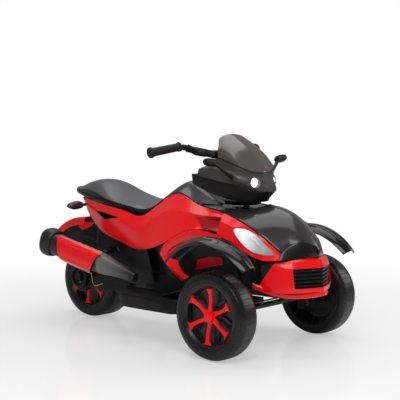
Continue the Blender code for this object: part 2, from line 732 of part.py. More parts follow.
for place in spread(-3.0, 3.0, 12):
    x, y, z = smooth(LIP_RAIL, abs(place))
    side = 1 if place >= 0 else -1
    reach = 0.016 - 0.0030 * abs(place)
    back = Vector((0.0, 0.06, 0.0)) - Vector((side * x, y, 0.0))
    back.normalize()
    tip = Vector((side * x, y, z))
    lip_rings.append([tip + Vector((0, 0, -0.005)), tip + Vector((0, 0, 0.005)),
                      tip + back * reach * 0.5 + Vector((0, 0, 0.011)),
                      tip + back * (reach + 0.008) + Vector((0, 0, 0.013)),
                      tip + back * (reach + 0.008) + Vector((0, 0, -0.009)),
                      tip + back * reach * 0.5 + Vector((0, 0, -0.009))])
fuse(bumper, loft("bumper_lip", lip_rings, RED_GLOSS))

# Grille: a slatted panel swept along the nose's plan curve, set back in the bumper's opening
SLATS = 5
LEDGE = WALL + 3 * GAP
slat_pitch = (BAND_LOW - GRILLE_LOW - 0.006) / SLATS
grille_profile = [(LEDGE, GRILLE_LOW - 0.003), (LEDGE, GRILLE_LOW + 0.0008)]
for slat in range(SLATS):
    low = GRILLE_LOW + 0.002 + slat * slat_pitch
    grille_profile += [(0.009, low), (0.003, low + slat_pitch * 0.25), (0.003, low + slat_pitch * 0.70),
                       (0.009, low + slat_pitch * 0.95)]
grille_profile += [(LEDGE, BAND_LOW - 0.0035), (LEDGE, BAND_LOW + 0.001), (0.014, BAND_LOW + 0.001),
                   (0.014, GRILLE_LOW - 0.003)]
grille_rings = []
for across in BUMPER_ACROSS[4:-4]:
    x, y = nose_plan(across, BAND_FRONT)
    back = (Vector((0.0, 0.02, 0.0)) - Vector((x, y, 0.0))).normalized()
    grille_rings.append([Vector((x, y, z)) + back * inset for inset, z in grille_profile])
loft("grille", grille_rings, BLACK_MATT)

# Side panels with the headlight's opening and the scoop, from the nose to behind the knees
SKIN_SHARES = (0.0, 0.16, 0.34, 0.56, 0.80, 1.0)
PANEL_BULGE = [(-0.15, 0.002), (-0.05, 0.012), (0.10, 0.014), (0.30, 0.022), (0.50, 0.016), (0.90, 0.010)]


def flank(side, y, share, scooped=True):
    """Skin between the belt and the sill with a shoulder a third of the way down."""
    crown = min(share / 0.34, (1 - share) / 0.66)
    point = mix(belt(side, y), sill(side, y), share)
    point.x += side * smooth(PANEL_BULGE, y)[0] * crown
    if scooped and 0.15 < share < 0.9 and SCOOP_FRONT <= y <= SCOOP_FRONT + SCOOP_LENGTH:
        fade = 1 - (y - SCOOP_FRONT) / SCOOP_LENGTH
        point.x -= side * SCOOP_DEPTH * fade * (1.0 if share < 0.7 else 0.6)
    return point


def leaf(side, centre_y, half_length, share, half_share, turn, size, lift):
    """Point of a leaf-shaped outline that lies on the flank, lifted off the skin."""
    y = centre_y + half_length * math.cos(turn) * size
    pinch = 1 - 0.45 * math.cos(turn) ** 2
    down = share + half_share * math.sin(turn) * pinch * size
    point = flank(side, y, down, False)
    return point - inward(point) * lift


LAMP = (-0.052, 0.076, 0.45, 0.36)
LAMP_POINTS = 16
PANEL_Y = spread(PANEL_FRONT, HOOD_REAR, HOOD_STEPS) + spread(HOOD_REAR, PANEL_SPLIT, KNEE_STEPS)[1:]
PANEL_Y = sorted(PANEL_Y + [SCOOP_FRONT - 0.001, SCOOP_FRONT + 0.001])
for side, word in ((RIGHT, "right"), (LEFT, "left")):
    rows = [[flank(side, y, share) for share in SKIN_SHARES] for y in PANEL_Y]
    panel = shell(word + "_side_panel", rows, RED_GLOSS, crease=24.0)
    rings = []
    for lift in (-0.030, 0.030):
        rings.append([leaf(side, *LAMP, math.tau * k / LAMP_POINTS, 1.0, lift) for k in range(LAMP_POINTS)])
    cut(panel, loft("lamp_opening", rings, RED_GLOSS))
    rings = []
    for size, lift in ((0.975, -0.005), (0.975, 0.0005), (0.80, 0.0035), (0.45, 0.0060)):
        rings.append([leaf(side, *LAMP, math.tau * k / LAMP_POINTS, size, lift) for k in range(LAMP_POINTS)])
    loft(word + "_headlight_lens", rings, CLEAR_LENS)

# Tail panels with a three-cornered vent
TAIL_Y = spread(PANEL_SPLIT, TAIL_END, 11)
tail_panels = {}
VENT = [(0.756, 0.292), (0.622, 0.276), (0.706, 0.262)]
for side, word in ((RIGHT, "right"), (LEFT, "left")):
    rows = [[flank(side, y, share, False) for share in SKIN_SHARES] for y in TAIL_Y]
    panel = shell(word + "_tail_panel", rows, RED_GLOSS, crease=24.0)
    cut(panel, plate("vent_opening", VENT, min(side * 0.06, side * 0.20), max(side * 0.06, side * 0.20),
                     BLACK_MATT))
    tail_panels[side] = panel

# C-shaped arch panels behind the front wheels
ARCH_HEART = Vector((0.16, 0.135))
ARCH_BAND = 0.034
ARCH_TURNS = [0.058, 0.105, 0.151, 0.195, 0.240, 0.285, 0.330]
ARCH_FOOT = [(0.352, 0.168, 0.192), (0.330, 0.136, 0.191), (0.288, 0.104, 0.190), (0.242, 0.076, 0.188)]
for side, word in ((RIGHT, "right"), (LEFT, "left")):
    outer_rail = []
    for y in ARCH_TURNS:
        edge = sill(side, y)
        outer_rail.append(Vector((edge.x, y, edge.z - 2 * GAP)))
    outer_rail += [Vector((side * x, y, z)) for y, z, x in ARCH_FOOT]
    rows = []
    for point in outer_rail:
        way = (ARCH_HEART - Vector((point.y, point.z))).normalized()
        row = []
        for share in (0.0, 0.5, 1.0):
            step = way * ARCH_BAND * share
            out = side * 0.006 * math.sin(math.pi * share)
            row.append(Vector((point.x + out, point.y + step.x, point.z + step.y)))
        rows.append(row)
    shell(word + "_arch_panel", rows, RED_GLOSS, heart=(0.0, 0.20, 0.150))

# Inner tub: the black moulding that carries every panel
TUB_INSET = 0.027
TUB_FRONT = -0.055
TUB_REAR = 0.885
MUDGUARD_TOP = MUDGUARD_RADIUS + 0.0052
CRANK_ROOM = 0.045
CRANK_HEADROOM = 0.034
TUB_WAIST = [(-0.055, 0.082), (0.0, 0.095), (0.30, 0.105), (0.46, 0.085), (0.60, 0.078), (0.885, 0.040)]


def tub_floor(y):
    rest = frame_high + GAP
    if y < CRANK_ROOM:
        return rest + CRANK_HEADROOM
    reach = y - WHEELBASE
    under = MUDGUARD_TOP ** 2 - reach * reach
    return max(rest, math.sqrt(under) + 2 * GAP) if under > 0 else rest


tub_rings = []
tub_stations = spread(TUB_FRONT, CRANK_ROOM - 0.0005, 4) + spread(CRANK_ROOM, PANEL_SPLIT, 7)
tub_stations += spread(PANEL_SPLIT + 0.008, TUB_REAR, 12)
for y in tub_stations:
    half_belt, belt_z = smooth(BELT, y)
    half_sill, sill_z = smooth(SILL, y)
    floor_z = tub_floor(y)
    if y > PANEL_SPLIT:
        top_z = belt_z - 0.0005
        shoulder_z = belt_z - 0.0005
    else:
        top_z = min(smooth(CREST, y)[0] - TUB_INSET, belt_z - 0.010)
        shoulder_z = belt_z - TUB_INSET
    waist = smooth(TUB_WAIST, y)[0]
    side_z = max(sill_z, floor_z + 0.008)
    shoulder_z = max(shoulder_z, side_z + 0.006)
    top_z = max(top_z, shoulder_z)
    half = [(half_belt - TUB_INSET, shoulder_z), (half_sill - TUB_INSET, side_z), (waist, floor_z)]
    ring = [Vector((0.0, y, top_z))] + [Vector((-x, y, z)) for x, z in half]
    ring += [Vector((0.0, y, floor_z))] + [Vector((x, y, z)) for x, z in reversed(half)]
    tub_rings.append(ring)
tub = loft("body_tub", tub_rings, BLACK_MATT)
bearing_radius = COLUMN_RADIUS / math.cos(math.pi / COLUMN_SIDES) + GAP
column_well = rod("column_well", on_column(0.0), on_column(0.45), bearing_radius, BLACK_MATT, COLUMN_SIDES)
cut(tub, column_well)

# Battery in its bay under the seat
BATTERY_HALF_WIDTH = 0.0755
BATTERY_LENGTH = 0.065
BATTERY_HEIGHT = 0.094
BATTERY_FRONT = 0.512
BATTERY_FLOOR = 0.172
bay_low = (-BATTERY_HALF_WIDTH - 0.001, BATTERY_FRONT - 0.001, BATTERY_FLOOR)
bay_high = (BATTERY_HALF_WIDTH + 0.001, BATTERY_FRONT + BATTERY_LENGTH + 0.001, 0.40)
cut(tub, block("battery_bay", bay_low, bay_high, BLACK_MATT))
battery = block("battery", (-BATTERY_HALF_WIDTH, BATTERY_FRONT, BATTERY_FLOOR + GAP),
                (BATTERY_HALF_WIDTH, BATTERY_FRONT + BATTERY_LENGTH, BATTERY_FLOOR + GAP + BATTERY_HEIGHT),
                BATTERY_GREY)
soften(battery, 0.002, 1)

# Seat base: the rim under the seat, which follows the belt
SEAT_FRONT = PANEL_SPLIT + 0.004
SEAT_REAR = 0.978
RIM_HEIGHT = 0.018
SEAT_HALF = [(0.452, 0.084), (0.520, 0.112), (0.600, 0.126), (0.731, 0.116), (0.850, 0.084),
             (0.930, 0.050), (0.983, 0.020)]
SEAT_CROWN = [(0.452, 0.336), (0.510, 0.330), (0.570, 0.332), (0.640, 0.342), (0.700, 0.368),
              (0.750, 0.396), (0.800, 0.410), (0.870, 0.402), (0.930, 0.380), (0.983, 0.352)]


def seat_floor(y):
    rise = 0.055 * max(y - 0.905, 0.0)
    return smooth(BELT, y)[1] + GAP + rise


base_rings = []
seat_rings = []
for y in spread(SEAT_FRONT, SEAT_REAR, 14):
    half = smooth(SEAT_HALF, y)[0]
    low = seat_floor(y)
    high = low + RIM_HEIGHT
    base_rings.append([Vector((-half + 0.006, y, low)), Vector((-half - 0.002, y, low + RIM_HEIGHT * 0.6)),
                       Vector((-half, y, high)), Vector((half, y, high)),
                       Vector((half + 0.002, y, low + RIM_HEIGHT * 0.6)), Vector((half - 0.006, y, low))])
    crown = max(smooth(SEAT_CROWN, y)[0], high + 0.010)
    ring = []
    for across in (-1.0, -0.97, -0.86, -0.62, -0.32, 0.0, 0.32, 0.62, 0.86, 0.97, 1.0):
        lift = (1 - abs(across) ** 3.0) ** 0.7
        x = half * across * (0.985 if abs(across) == 1.0 else 1.0)
        ring.append(Vector((x, y, high + GAP + 0.002 + (crown - high - 0.002) * lift)))
    ring += [Vector((half * 0.97, y, high + GAP)), Vector((-half * 0.97, y, high + GAP))]
    seat_rings.append(ring)
loft("seat_base", base_rings, BLACK_MATT)
loft("seat", seat_rings, GREY_SATIN, crease=40.0)

# Rear mudguard with side walls, and its red cap
GUARD_INNER = REAR_TYRE_WIDTH / 2 + 0.0120
GUARD_WALL = 0.004
GUARD_SKIRT = 0.175
GUARD_FRONT = math.radians(-38)
GUARD_BACK = math.radians(50)
GUARD_STEPS = 12
CAP_STEPS = 7


def arc_sweep(name, profile, centre, start, end, steps, finish):
    """Sweep an (x, radius) outline round an axis along X; the angle is measured from straight up."""
    rings = []
    for angle in spread(start, end, steps):
        rings.append([Vector((centre[0] + x, centre[1] + r * math.sin(angle), centre[2] + r * math.cos(angle)))
                      for x, r in profile])
    return loft(name, rings, finish)


guard_outer = GUARD_INNER + GUARD_WALL
rear_hub = (0.0, WHEELBASE, 0.0)
guard_profile = [(-guard_outer, GUARD_SKIRT), (-guard_outer, MUDGUARD_RADIUS - 0.006),
                 (-guard_outer + 0.006, MUDGUARD_RADIUS), (guard_outer - 0.006, MUDGUARD_RADIUS),
                 (guard_outer, MUDGUARD_RADIUS - 0.006), (guard_outer, GUARD_SKIRT),
                 (GUARD_INNER, GUARD_SKIRT), (GUARD_INNER, MUDGUARD_RADIUS - GUARD_WALL),
                 (-GUARD_INNER, MUDGUARD_RADIUS - GUARD_WALL), (-GUARD_INNER, GUARD_SKIRT)]
arc_sweep("rear_mudguard", guard_profile, rear_hub, GUARD_FRONT, GUARD_BACK, GUARD_STEPS, BLACK_MATT)
cap_half = guard_outer + 2 * GAP
cap_low = MUDGUARD_RADIUS + GAP * 2
cap_profile = [(-cap_half - 0.003, MUDGUARD_RADIUS - 0.026), (-cap_half - 0.003, MUDGUARD_RADIUS - 0.004),
               (-cap_half + 0.006, cap_low + 0.004), (cap_half - 0.006, cap_low + 0.004),
               (cap_half + 0.003, MUDGUARD_RADIUS - 0.004), (cap_half + 0.003, MUDGUARD_RADIUS - 0.026),
               (cap_half, MUDGUARD_RADIUS - 0.026), (cap_half, MUDGUARD_RADIUS - 0.004),
               (cap_half - 0.005, cap_low), (-cap_half + 0.005, cap_low),
               (-cap_half, MUDGUARD_RADIUS - 0.004), (-cap_half, MUDGUARD_RADIUS - 0.026)]
cap_start = GUARD_BACK - CAP_STEPS * (GUARD_BACK - GUARD_FRONT) / GUARD_STEPS
arc_sweep("mudguard_cap", cap_profile, rear_hub, cap_start, GUARD_BACK, CAP_STEPS, RED_GLOSS)

# Side housings: black walls between the tail panels and the fork, with a boss on the right one
HOUSING_FOOT = [(0.455, 0.124, 0.040), (0.560, 0.116, 0.026), (0.650, 0.110, 0.040), (0.720, 0.106, 0.090),
                (0.790, 0.104, 0.170)]
BOSS_Y = 0.690
BOSS_Z = 0.140
BOSS_FACE = 0.122
HOUSING_STATIONS = 9
for side, word in ((RIGHT, "right"), (LEFT, "left")):
    rows = []
    for y in TAIL_Y[:HOUSING_STATIONS]:
        top = sill(side, y)
        half_width, height = smooth(HOUSING_FOOT, y)
        foot = Vector((side * half_width, y, height))
        rows.append([mix(top, foot, t) for t in (0.0, 0.12, 0.5, 0.9, 1.0)])
    housing = shell(word + "_side_housing", rows, BLACK_MATT)
    fuse(housing, rod("housing_boss", (side * (BOSS_FACE - 0.018), BOSS_Y, BOSS_Z),
                      (side * BOSS_FACE, BOSS_Y, BOSS_Z), 0.014, BLACK_MATT))

# Exhaust on the right: faceted end cap, can, red heat shield and tapered pipe on one axis
EXHAUST_X = -0.200
EXHAUST_REAR = Vector((EXHAUST_X, 0.958, 0.168))
EXHAUST_FRONT = Vector((EXHAUST_X + 0.030, 0.500, 0.062))
exhaust_way = (EXHAUST_FRONT - EXHAUST_REAR).normalized()
exhaust_side = exhaust_way.cross(Vector((0, 0, 1))).normalized()
exhaust_up = exhaust_side.cross(exhaust_way).normalized()


def exhaust_ring(distance, half_width, half_height, sides=16, power=2.6):
    """Rounded-square section across the exhaust's axis, at a distance from its rear end."""
    centre = EXHAUST_REAR + exhaust_way * distance
    ring = []
    for k in range(sides):
        turn = math.tau * (k + 0.5) / sides
        c = math.cos(turn)
        s = math.sin(turn)
        x = math.copysign(abs(c) ** (2 / power), c) * half_width
        z = math.copysign(abs(s) ** (2 / power), s) * half_height
        ring.append(centre + exhaust_side * x + exhaust_up * z)
    return ring


CAN_HALF_WIDTH = 0.040
CAN_HALF_HEIGHT = 0.043
CAN_LENGTH = 0.300
CAP_LENGTH = 0.052
can_rings = [exhaust_ring(0.050, 0.026, 0.030), exhaust_ring(0.004, 0.031, 0.035)]
can_rings += [exhaust_ring(0.0, 0.036, 0.040), exhaust_ring(0.0, 0.044, 0.050)]
can_rings += [exhaust_ring(0.012, 0.051, 0.057), exhaust_ring(CAP_LENGTH * 0.75, 0.051, 0.057)]
can_rings += [exhaust_ring(CAP_LENGTH, 0.044, 0.050)]
can_rings += [exhaust_ring(CAP_LENGTH + 0.001, CAN_HALF_WIDTH, CAN_HALF_HEIGHT)]
can_rings += [exhaust_ring(CAN_LENGTH, CAN_HALF_WIDTH * 0.96, CAN_HALF_HEIGHT * 0.98)]
can_rings += [exhaust_ring(0.345, 0.030, 0.034), exhaust_ring(0.400, 0.020, 0.024)]
can_rings += [exhaust_ring(0.475, 0.015, 0.017)]
can = loft("muffler_can", can_rings, BLACK_MATT)
bracket_start = EXHAUST_REAR + exhaust_way * 0.262 - exhaust_side * 0.030
bracket_face = Vector((-BOSS_FACE - GAP, BOSS_Y, BOSS_Z))
bracket_bend = bracket_face - Vector((0.012, 0, 0))
fuse(can, tube("muffler_bracket", [bracket_start, bracket_bend, bracket_face], [0.010, 0.011, 0.011], 10,
               BLACK_MATT))

# Heat shield: a wall wrapped over the outer half of the can, with a long shallow recess
SHIELD_REAR = 0.100
SHIELD_FRONT = 0.292
SHIELD_TURN = math.radians(74)
SHIELD_STAND = 0.0065
SHIELD_SLANT = 0.020
SHIELD_INSET = 0.0035
shield_rows = []
for share in (0.0, 0.14, 0.20, 0.52, 0.84, 0.90, 1.0):
    row = []
    for turn in (-1.0, -0.75, -0.50, -0.42, 0.0, 0.42, 0.50, 0.75, 1.0):
        angle = SHIELD_TURN * turn
        inset = SHIELD_INSET if 0.15 < share < 0.85 and abs(turn) < 0.45 else 0.0
        distance = SHIELD_REAR + (SHIELD_FRONT - SHIELD_REAR) * share
        distance += SHIELD_SLANT * math.sin(angle) * (2 * share - 1)
        out = (CAN_HALF_WIDTH + SHIELD_STAND - inset) * abs(math.cos(angle)) ** 0.77
        up = (CAN_HALF_HEIGHT + SHIELD_STAND - inset) * math.copysign(abs(math.sin(angle)) ** 0.77, turn)
        row.append(EXHAUST_REAR + exhaust_way * distance + exhaust_side * out + exhaust_up * up)
    shield_rows.append(row)
shell("heat_shield", shield_rows, RED_GLOSS, wall=0.0025, heart=EXHAUST_REAR + exhaust_way * 0.20)

# Footrests: trays over the cross tubes, with a skirt along the outer edge
FOOT_INNER = 0.168
STEERING_ROOM = 0.028
FOOT_TOP = 0.027
FOOT_SKIRT = -0.021
FOOT_WALL = 0.010
FOOT_FRONT = TYRE_RADIUS + STEERING_ROOM
FOOT_PLAN = [(FOOT_FRONT, 0.250), (FOOT_FRONT + 0.008, 0.286), (FOOT_FRONT + 0.026, 0.3005), (0.430, 0.3005),
             (0.456, 0.292), (0.474, 0.262), (0.505, 0.212), (0.536, 0.186)]
foot_rest_height = frame_low + 0.004 + GAP
for side, word in ((RIGHT, "right"), (LEFT, "left")):
    rings = []
    for y, outer in FOOT_PLAN:
        skirt = outer - FOOT_WALL
        outline = [(FOOT_INNER, FOOT_TOP), (outer - 0.004, FOOT_TOP), (outer, FOOT_TOP - 0.006),
                   (outer - 0.003, FOOT_SKIRT), (skirt, FOOT_SKIRT), (skirt, foot_rest_height),
                   (FOOT_INNER, foot_rest_height)]
        rings.append([Vector((side * x, y, z)) for x, z in outline])
    loft(word + "_footrest", rings, BLACK_MATT)

# Accelerator pedal, hinged on the right footrest
PEDAL_X = -0.230
PEDAL_HALF_WIDTH = 0.030
PEDAL_HINGE_Y = 0.272
PEDAL_BARREL = 0.005
pedal_hinge_z = FOOT_TOP + PEDAL_BARREL + 2 * GAP
pedal_hinge = pivot("pedal_hinge", (PEDAL_X, PEDAL_HINGE_Y, pedal_hinge_z), parent=datum)
pedal_outline = [(PEDAL_HINGE_Y, pedal_hinge_z - 0.003), (PEDAL_HINGE_Y, pedal_hinge_z + 0.003),
                 (PEDAL_HINGE_Y - 0.082, pedal_hinge_z + 0.029), (PEDAL_HINGE_Y - 0.085, pedal_hinge_z + 0.023)]
pedal = plate("accelerator_pedal", pedal_outline, PEDAL_X - PEDAL_HALF_WIDTH, PEDAL_X + PEDAL_HALF_WIDTH,
              BLACK_MATT, pedal_hinge)
fuse(pedal, rod("pedal_barrel", (PEDAL_X - PEDAL_HALF_WIDTH, PEDAL_HINGE_Y, pedal_hinge_z),
                (PEDAL_X + PEDAL_HALF_WIDTH, PEDAL_HINGE_Y, pedal_hinge_z), PEDAL_BARREL, BLACK_MATT,
                parent=pedal_hinge))

# Front mudguards: crowned arcs with a raised rib, each on an arm from a boss on the tub
FENDER_CENTRE = (0.030, 0.020)
FENDER_SECTION = [(-0.048, 0.221), (-0.036, 0.232), (-0.015, 0.2375), (-0.009, 0.2420), (0.009, 0.2420),
                  (0.015, 0.2375), (0.036, 0.232), (0.048, 0.221)]
FENDER_SPAN = math.radians(50)
FENDER_TAPER = 0.28
BOSS_REACH = 0.172
ARM_LOW_Y = 0.010
ARM_HIGH_Y = 0.050
ARM_HALF_THICKNESS = 0.0025
ARM_ROUTE = [(BOSS_REACH + GAP, 0.203), (BOSS_REACH + 0.028, 0.210), (HALF_TRACK - 0.0455, 0.240),
             (HALF_TRACK - 0.0285, 0.250)]
for side, word in ((RIGHT, "right"), (LEFT, "left")):
    rings = []
    for turn in spread(-1.0, 1.0, 9):
        angle = FENDER_SPAN * turn
        width = 1 - FENDER_TAPER * abs(turn) ** 3
        section = [(x * width, r) for x, r in FENDER_SECTION]
        section += [(x * (1 - WALL / 0.048) * width, r - WALL) for x, r in reversed(FENDER_SECTION)]
        rings.append([Vector((side * HALF_TRACK + x, FENDER_CENTRE[0] + r * math.sin(angle),
                              FENDER_CENTRE[1] + r * math.cos(angle))) for x, r in section])
    fender = loft(word + "_front_mudguard", rings, BLACK_GLOSS)
    rings = []
    for x, z in ARM_ROUTE:
        rings.append([Vector((side * x, ARM_LOW_Y, z - ARM_HALF_THICKNESS)),
                      Vector((side * x, ARM_HIGH_Y, z - ARM_HALF_THICKNESS)),
                      Vector((side * x, ARM_HIGH_Y, z + ARM_HALF_THICKNESS)),
                      Vector((side * x, ARM_LOW_Y, z + ARM_HALF_THICKNESS))])
    fuse(fender, loft("mudguard_arm", rings, BLACK_GLOSS))
    fuse(tub, block("mudguard_boss", (side * (BOSS_REACH - 0.062), ARM_LOW_Y - 0.005, ARM_ROUTE[0][1] - 0.011),
                    (side * BOSS_REACH, ARM_HIGH_Y + 0.005, ARM_ROUTE[0][1] + 0.013), BLACK_MATT))

# Handlebar and grips
GRIP_BAR_RADIUS = 0.0095
BAR_ROUTE = [(0.0, 0.0, 0.0), (0.080, 0.024, 0.003), (0.120, 0.069, 0.014), (0.165, 0.090, 0.030),
             (0.178, 0.0945, 0.0305), (0.298, 0.130, 0.0105)]
bar_middle = on_column(HANDLEBAR_HEIGHT)
bar_half = [bar_middle + Vector(step) for step in BAR_ROUTE]
bar_radii = [BAR_RADIUS, BAR_RADIUS, BAR_RADIUS, 0.0105, GRIP_BAR_RADIUS, GRIP_BAR_RADIUS]
mirrored = [Vector((-point.x, point.y, point.z)) for point in reversed(bar_half[1:])]
tube("handlebar", mirrored + bar_half, bar_radii[:0:-1] + bar_radii, 10, BLACK_MATT, steering)
GRIP_LENGTH = 0.128
GRIP_BORE = 0.0104
for side, word in ((RIGHT, "right"), (LEFT, "left")):
    start = Vector((side * bar_half[-2].x, bar_half[-2].y, bar_half[-2].z))
    tip = Vector((side * bar_half[-1].x, bar_half[-1].y, bar_half[-1].z))
    way = (tip - start).normalized()
    profile = [(0.003, GRIP_BORE), (0.003, 0.0185), (0.009, 0.0185), (0.010, 0.0155), (GRIP_LENGTH - 0.016, 0.0165),
               (GRIP_LENGTH - 0.010, 0.0205), (GRIP_LENGTH, 0.0195), (GRIP_LENGTH, GRIP_BORE)]
    turned(word + "_grip", profile, 12, start, BLACK_MATT, steering, axis=way)

# Steering pod: a black base, a grey shell and a tinted windshield, all turning with the column
# A point's height on the pod is a share of the rise from the pod's floor to the handlebar
POD_FLOOR = 0.3600


def pod_height(share):
    return POD_FLOOR + (HANDLEBAR_HEIGHT - POD_FLOOR) * share


POD_SEAM = [(-0.012, 0.018, 0.231), (0.010, 0.040, 0.241), (0.057, 0.084, 0.333), (0.150, 0.115, 0.463),
            (0.261, 0.120, 0.586)]
POD_LOW = [(-0.012, 0.012, POD_FLOOR), (0.050, 0.058, POD_FLOOR), (0.090, 0.090, POD_FLOOR + 0.005),
           (0.169, 0.108, POD_FLOOR + 0.025), (0.261, 0.113, POD_FLOOR + 0.057)]
POD_TOP = [(-0.012, 0.022, 0.370), (0.015, 0.048, 0.525), (0.034, 0.080, 0.630), (0.060, 0.106, 0.716),
           (0.100, 0.116, 0.821), (0.144, 0.120, 0.870), (0.180, 0.120, 0.864), (0.235, 0.116, 0.765)]
POD_BACK = 0.235
POD_TAIL = 0.261
POD_STATIONS = [-0.012, 0.004, 0.020, 0.034, 0.060, 0.100, 0.150, 0.205, POD_BACK]
base_rings = []
for y in POD_STATIONS + [POD_TAIL]:
    x, share = smooth(POD_SEAM, y)
    z = pod_height(share)
    low_x, low_z = smooth(POD_LOW, y)
    base_rings.append([Vector((-x, y, z)), Vector((-low_x, y, low_z)), Vector((low_x, y, low_z)),
                       Vector((x, y, z))])
pod_base = loft("pod_base", base_rings, BLACK_MATT, steering)
shell_rings = []
for y in POD_STATIONS:
    x, share = smooth(POD_SEAM, y)
    z = pod_height(share)
    wide, share = smooth(POD_TOP, y)
    top = pod_height(share)
    half = [(x, z + GAP), (wide, z + (top - z) * 0.30), (wide * 0.97, z + (top - z) * 0.62),
            (wide * 0.78, z + (top - z) * 0.90), (wide * 0.38, top)]
    ring = [Vector((-px, y, pz)) for px, pz in half]
    ring += [Vector((px, y, pz)) for px, pz in reversed(half)]
    shell_rings.append(ring)
pod_shell = loft("pod_shell", shell_rings, GREY_SATIN, steering, crease=26.0)
for piece in (pod_base, pod_shell):
    cut(piece, rod("column_socket", on_column(POD_FLOOR - 0.06), on_column(HANDLEBAR_HEIGHT + 0.018),
                   COLUMN_RADIUS + GAP, BLACK_MATT, COLUMN_SIDES, steering))

# Windshield: rails given as (step across, x, y, share of the pod's rise)
SHIELD_LOW_RAIL = [(0, 0.0, 0.022, 0.642), (1, 0.054, 0.034, 0.667), (2, 0.093, 0.058, 0.772),
                   (3, 0.109, 0.146, 0.969)]
SHIELD_HIGH_RAIL = [(0, 0.0, 0.170, 1.463), (1, 0.050, 0.174, 1.432), (2, 0.078, 0.170, 1.346),
                    (3, 0.095, 0.154, 1.210)]
SHIELD_BULGE = 0.010
PEG_HEIGHT = pod_height(0.642)
shield_heart = Vector((0.0, 0.170, PEG_HEIGHT + 0.006))
wind_rows = []
for up in spread(0.0, 1.0, 4):
    row = []
    for place in spread(-3.0, 3.0, 12):
        side = 1 if place >= 0 else -1
        point = mix(smooth(SHIELD_LOW_RAIL, abs(place)), smooth(SHIELD_HIGH_RAIL, abs(place)), up)
        point.x *= side
        point.z = pod_height(point.z)
        point += (point - shield_heart).normalized() * SHIELD_BULGE * math.sin(math.pi * up)
        row.append(point)
    wind_rows.append(row)
windshield = shell("windshield", wind_rows, SMOKED_LENS, wall=0.003, parent=steering, heart=shield_heart)
PEG_RADIUS = 0.0045
for side in (RIGHT, LEFT):
    head = wind_rows[0][6 + side * 3] * 0.7 + wind_rows[1][6 + side * 3] * 0.3
    head += (shield_heart - head).normalized() * 0.0015
    foot = Vector((side * 0.056, 0.085, PEG_HEIGHT))
    fuse(windshield, rod("windshield_peg", head, foot, PEG_RADIUS, SMOKED_LENS, parent=steering))
    cut(pod_shell, rod("peg_socket", mix(head, foot, 0.1), mix(head, foot, 1.05), PEG_RADIUS + GAP, BLACK_MATT,
                       parent=steering))

# Pod lamps in round pockets, and mirrors on stalks that stand in sockets
LAMP_RADIUS = 0.0165
STALK_RADIUS = 0.0065
MIRROR_STATIONS = [(-0.016, 0.005), (-0.010, 0.0085), (0.008, 0.0105), (0.032, 0.0100), (0.047, 0.0075),
                   (0.052, 0.004)]
for side, word in ((RIGHT, "right"), (LEFT, "left")):
    way = Vector((side * 0.30, -1.0, -0.05)).normalized()
    middle = Vector((side * 0.052, 0.032, pod_height(0.432)))
    cut(pod_shell, rod("lamp_pocket", middle - way * 0.012, middle + way * 0.030, LAMP_RADIUS + 3 * GAP,
                       BLACK_MATT, 14, steering))
    tube(word + "_pod_lamp", [middle - way * 0.0115, middle + way * 0.001, middle + way * 0.007,
                              middle + way * 0.010], [LAMP_RADIUS, LAMP_RADIUS, 0.012, 0.005], 14,
         CLEAR_LENS, steering)
    stalk_foot = Vector((side * 0.106, 0.082, pod_height(0.525)))
    stalk_top = Vector((side * 0.182, 0.103, pod_height(0.840)))
    cut(pod_shell, rod("stalk_socket", stalk_foot, mix(stalk_foot, stalk_top, 0.6), STALK_RADIUS + GAP,
                       BLACK_MATT, parent=steering))
    stalk_way = (stalk_top - stalk_foot).normalized()
    mirror = rod(word + "_mirror", stalk_foot + stalk_way * GAP, stalk_top, STALK_RADIUS, BLACK_MATT,
                 parent=steering)
    head = [stalk_top + Vector((side * out, 0.002, 0.005 + out * 0.12)) for out, half in MIRROR_STATIONS]
    fuse(mirror, tube("mirror_head", head, [half for out, half in MIRROR_STATIONS], 12, BLACK_MATT,
                      steering, 2.0))

# Turn switch on the pod's rear face
ROCKER_X = 0.035
ROCKER_Z = pod_height(0.667)
ROCKER_HALF_WIDTH = 0.011
ROCKER_HALF_HEIGHT = 0.0055
ROCKER_DEPTH = 0.010
cut(pod_shell, block("rocker_pocket", (ROCKER_X - ROCKER_HALF_WIDTH - 0.0006, POD_BACK - ROCKER_DEPTH, ROCKER_Z - 0.0072),
                     (ROCKER_X + ROCKER_HALF_WIDTH + 0.0006, POD_BACK + 0.002, ROCKER_Z + 0.0072), BLACK_MATT,
                     steering))
rocker_place = Vector((ROCKER_X, POD_BACK - 0.004, ROCKER_Z))
rocker_hinge = pivot("rocker_hinge", place_of["steering_axis"].inverted() @ rocker_place,
                     (COLUMN_RAKE, 0.0, 0.0), steering)
soften(block("turn_rocker", rocker_place - Vector((ROCKER_HALF_WIDTH, 0.004, ROCKER_HALF_HEIGHT)),
             rocker_place + Vector((ROCKER_HALF_WIDTH, 0.007, ROCKER_HALF_HEIGHT)), BLACK_GLOSS, rocker_hinge),
       0.0012, 1)

# Turn signals: smoked bullets on stalks that stand in sockets of the tail panels
SIGNAL_STATIONS = [(0.000, 0.0060), (0.012, 0.0060), (0.016, 0.0120), (0.030, 0.0165), (0.048, 0.0175),
                   (0.064, 0.0150), (0.076, 0.0095), (0.082, 0.0040)]
for side, word in ((RIGHT, "right"), (LEFT, "left")):
    foot = Vector((side * 0.0705, 0.876, 0.306))
    way = Vector((side * 0.96, 0.22, -0.02)).normalized()
    cut(tail_panels[side], rod("signal_socket", foot - way * 0.012, foot + way * 0.020, 0.0060 + GAP, BLACK_MATT))
    tube(word + "_turn_signal", [foot + way * along for along, radius in SIGNAL_STATIONS],
         [radius for along, radius in SIGNAL_STATIONS], 10, SMOKED_LENS)
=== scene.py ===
"""Looks of the three-wheel electric ride-on: camera, light, materials and finely made pieces."""
import math

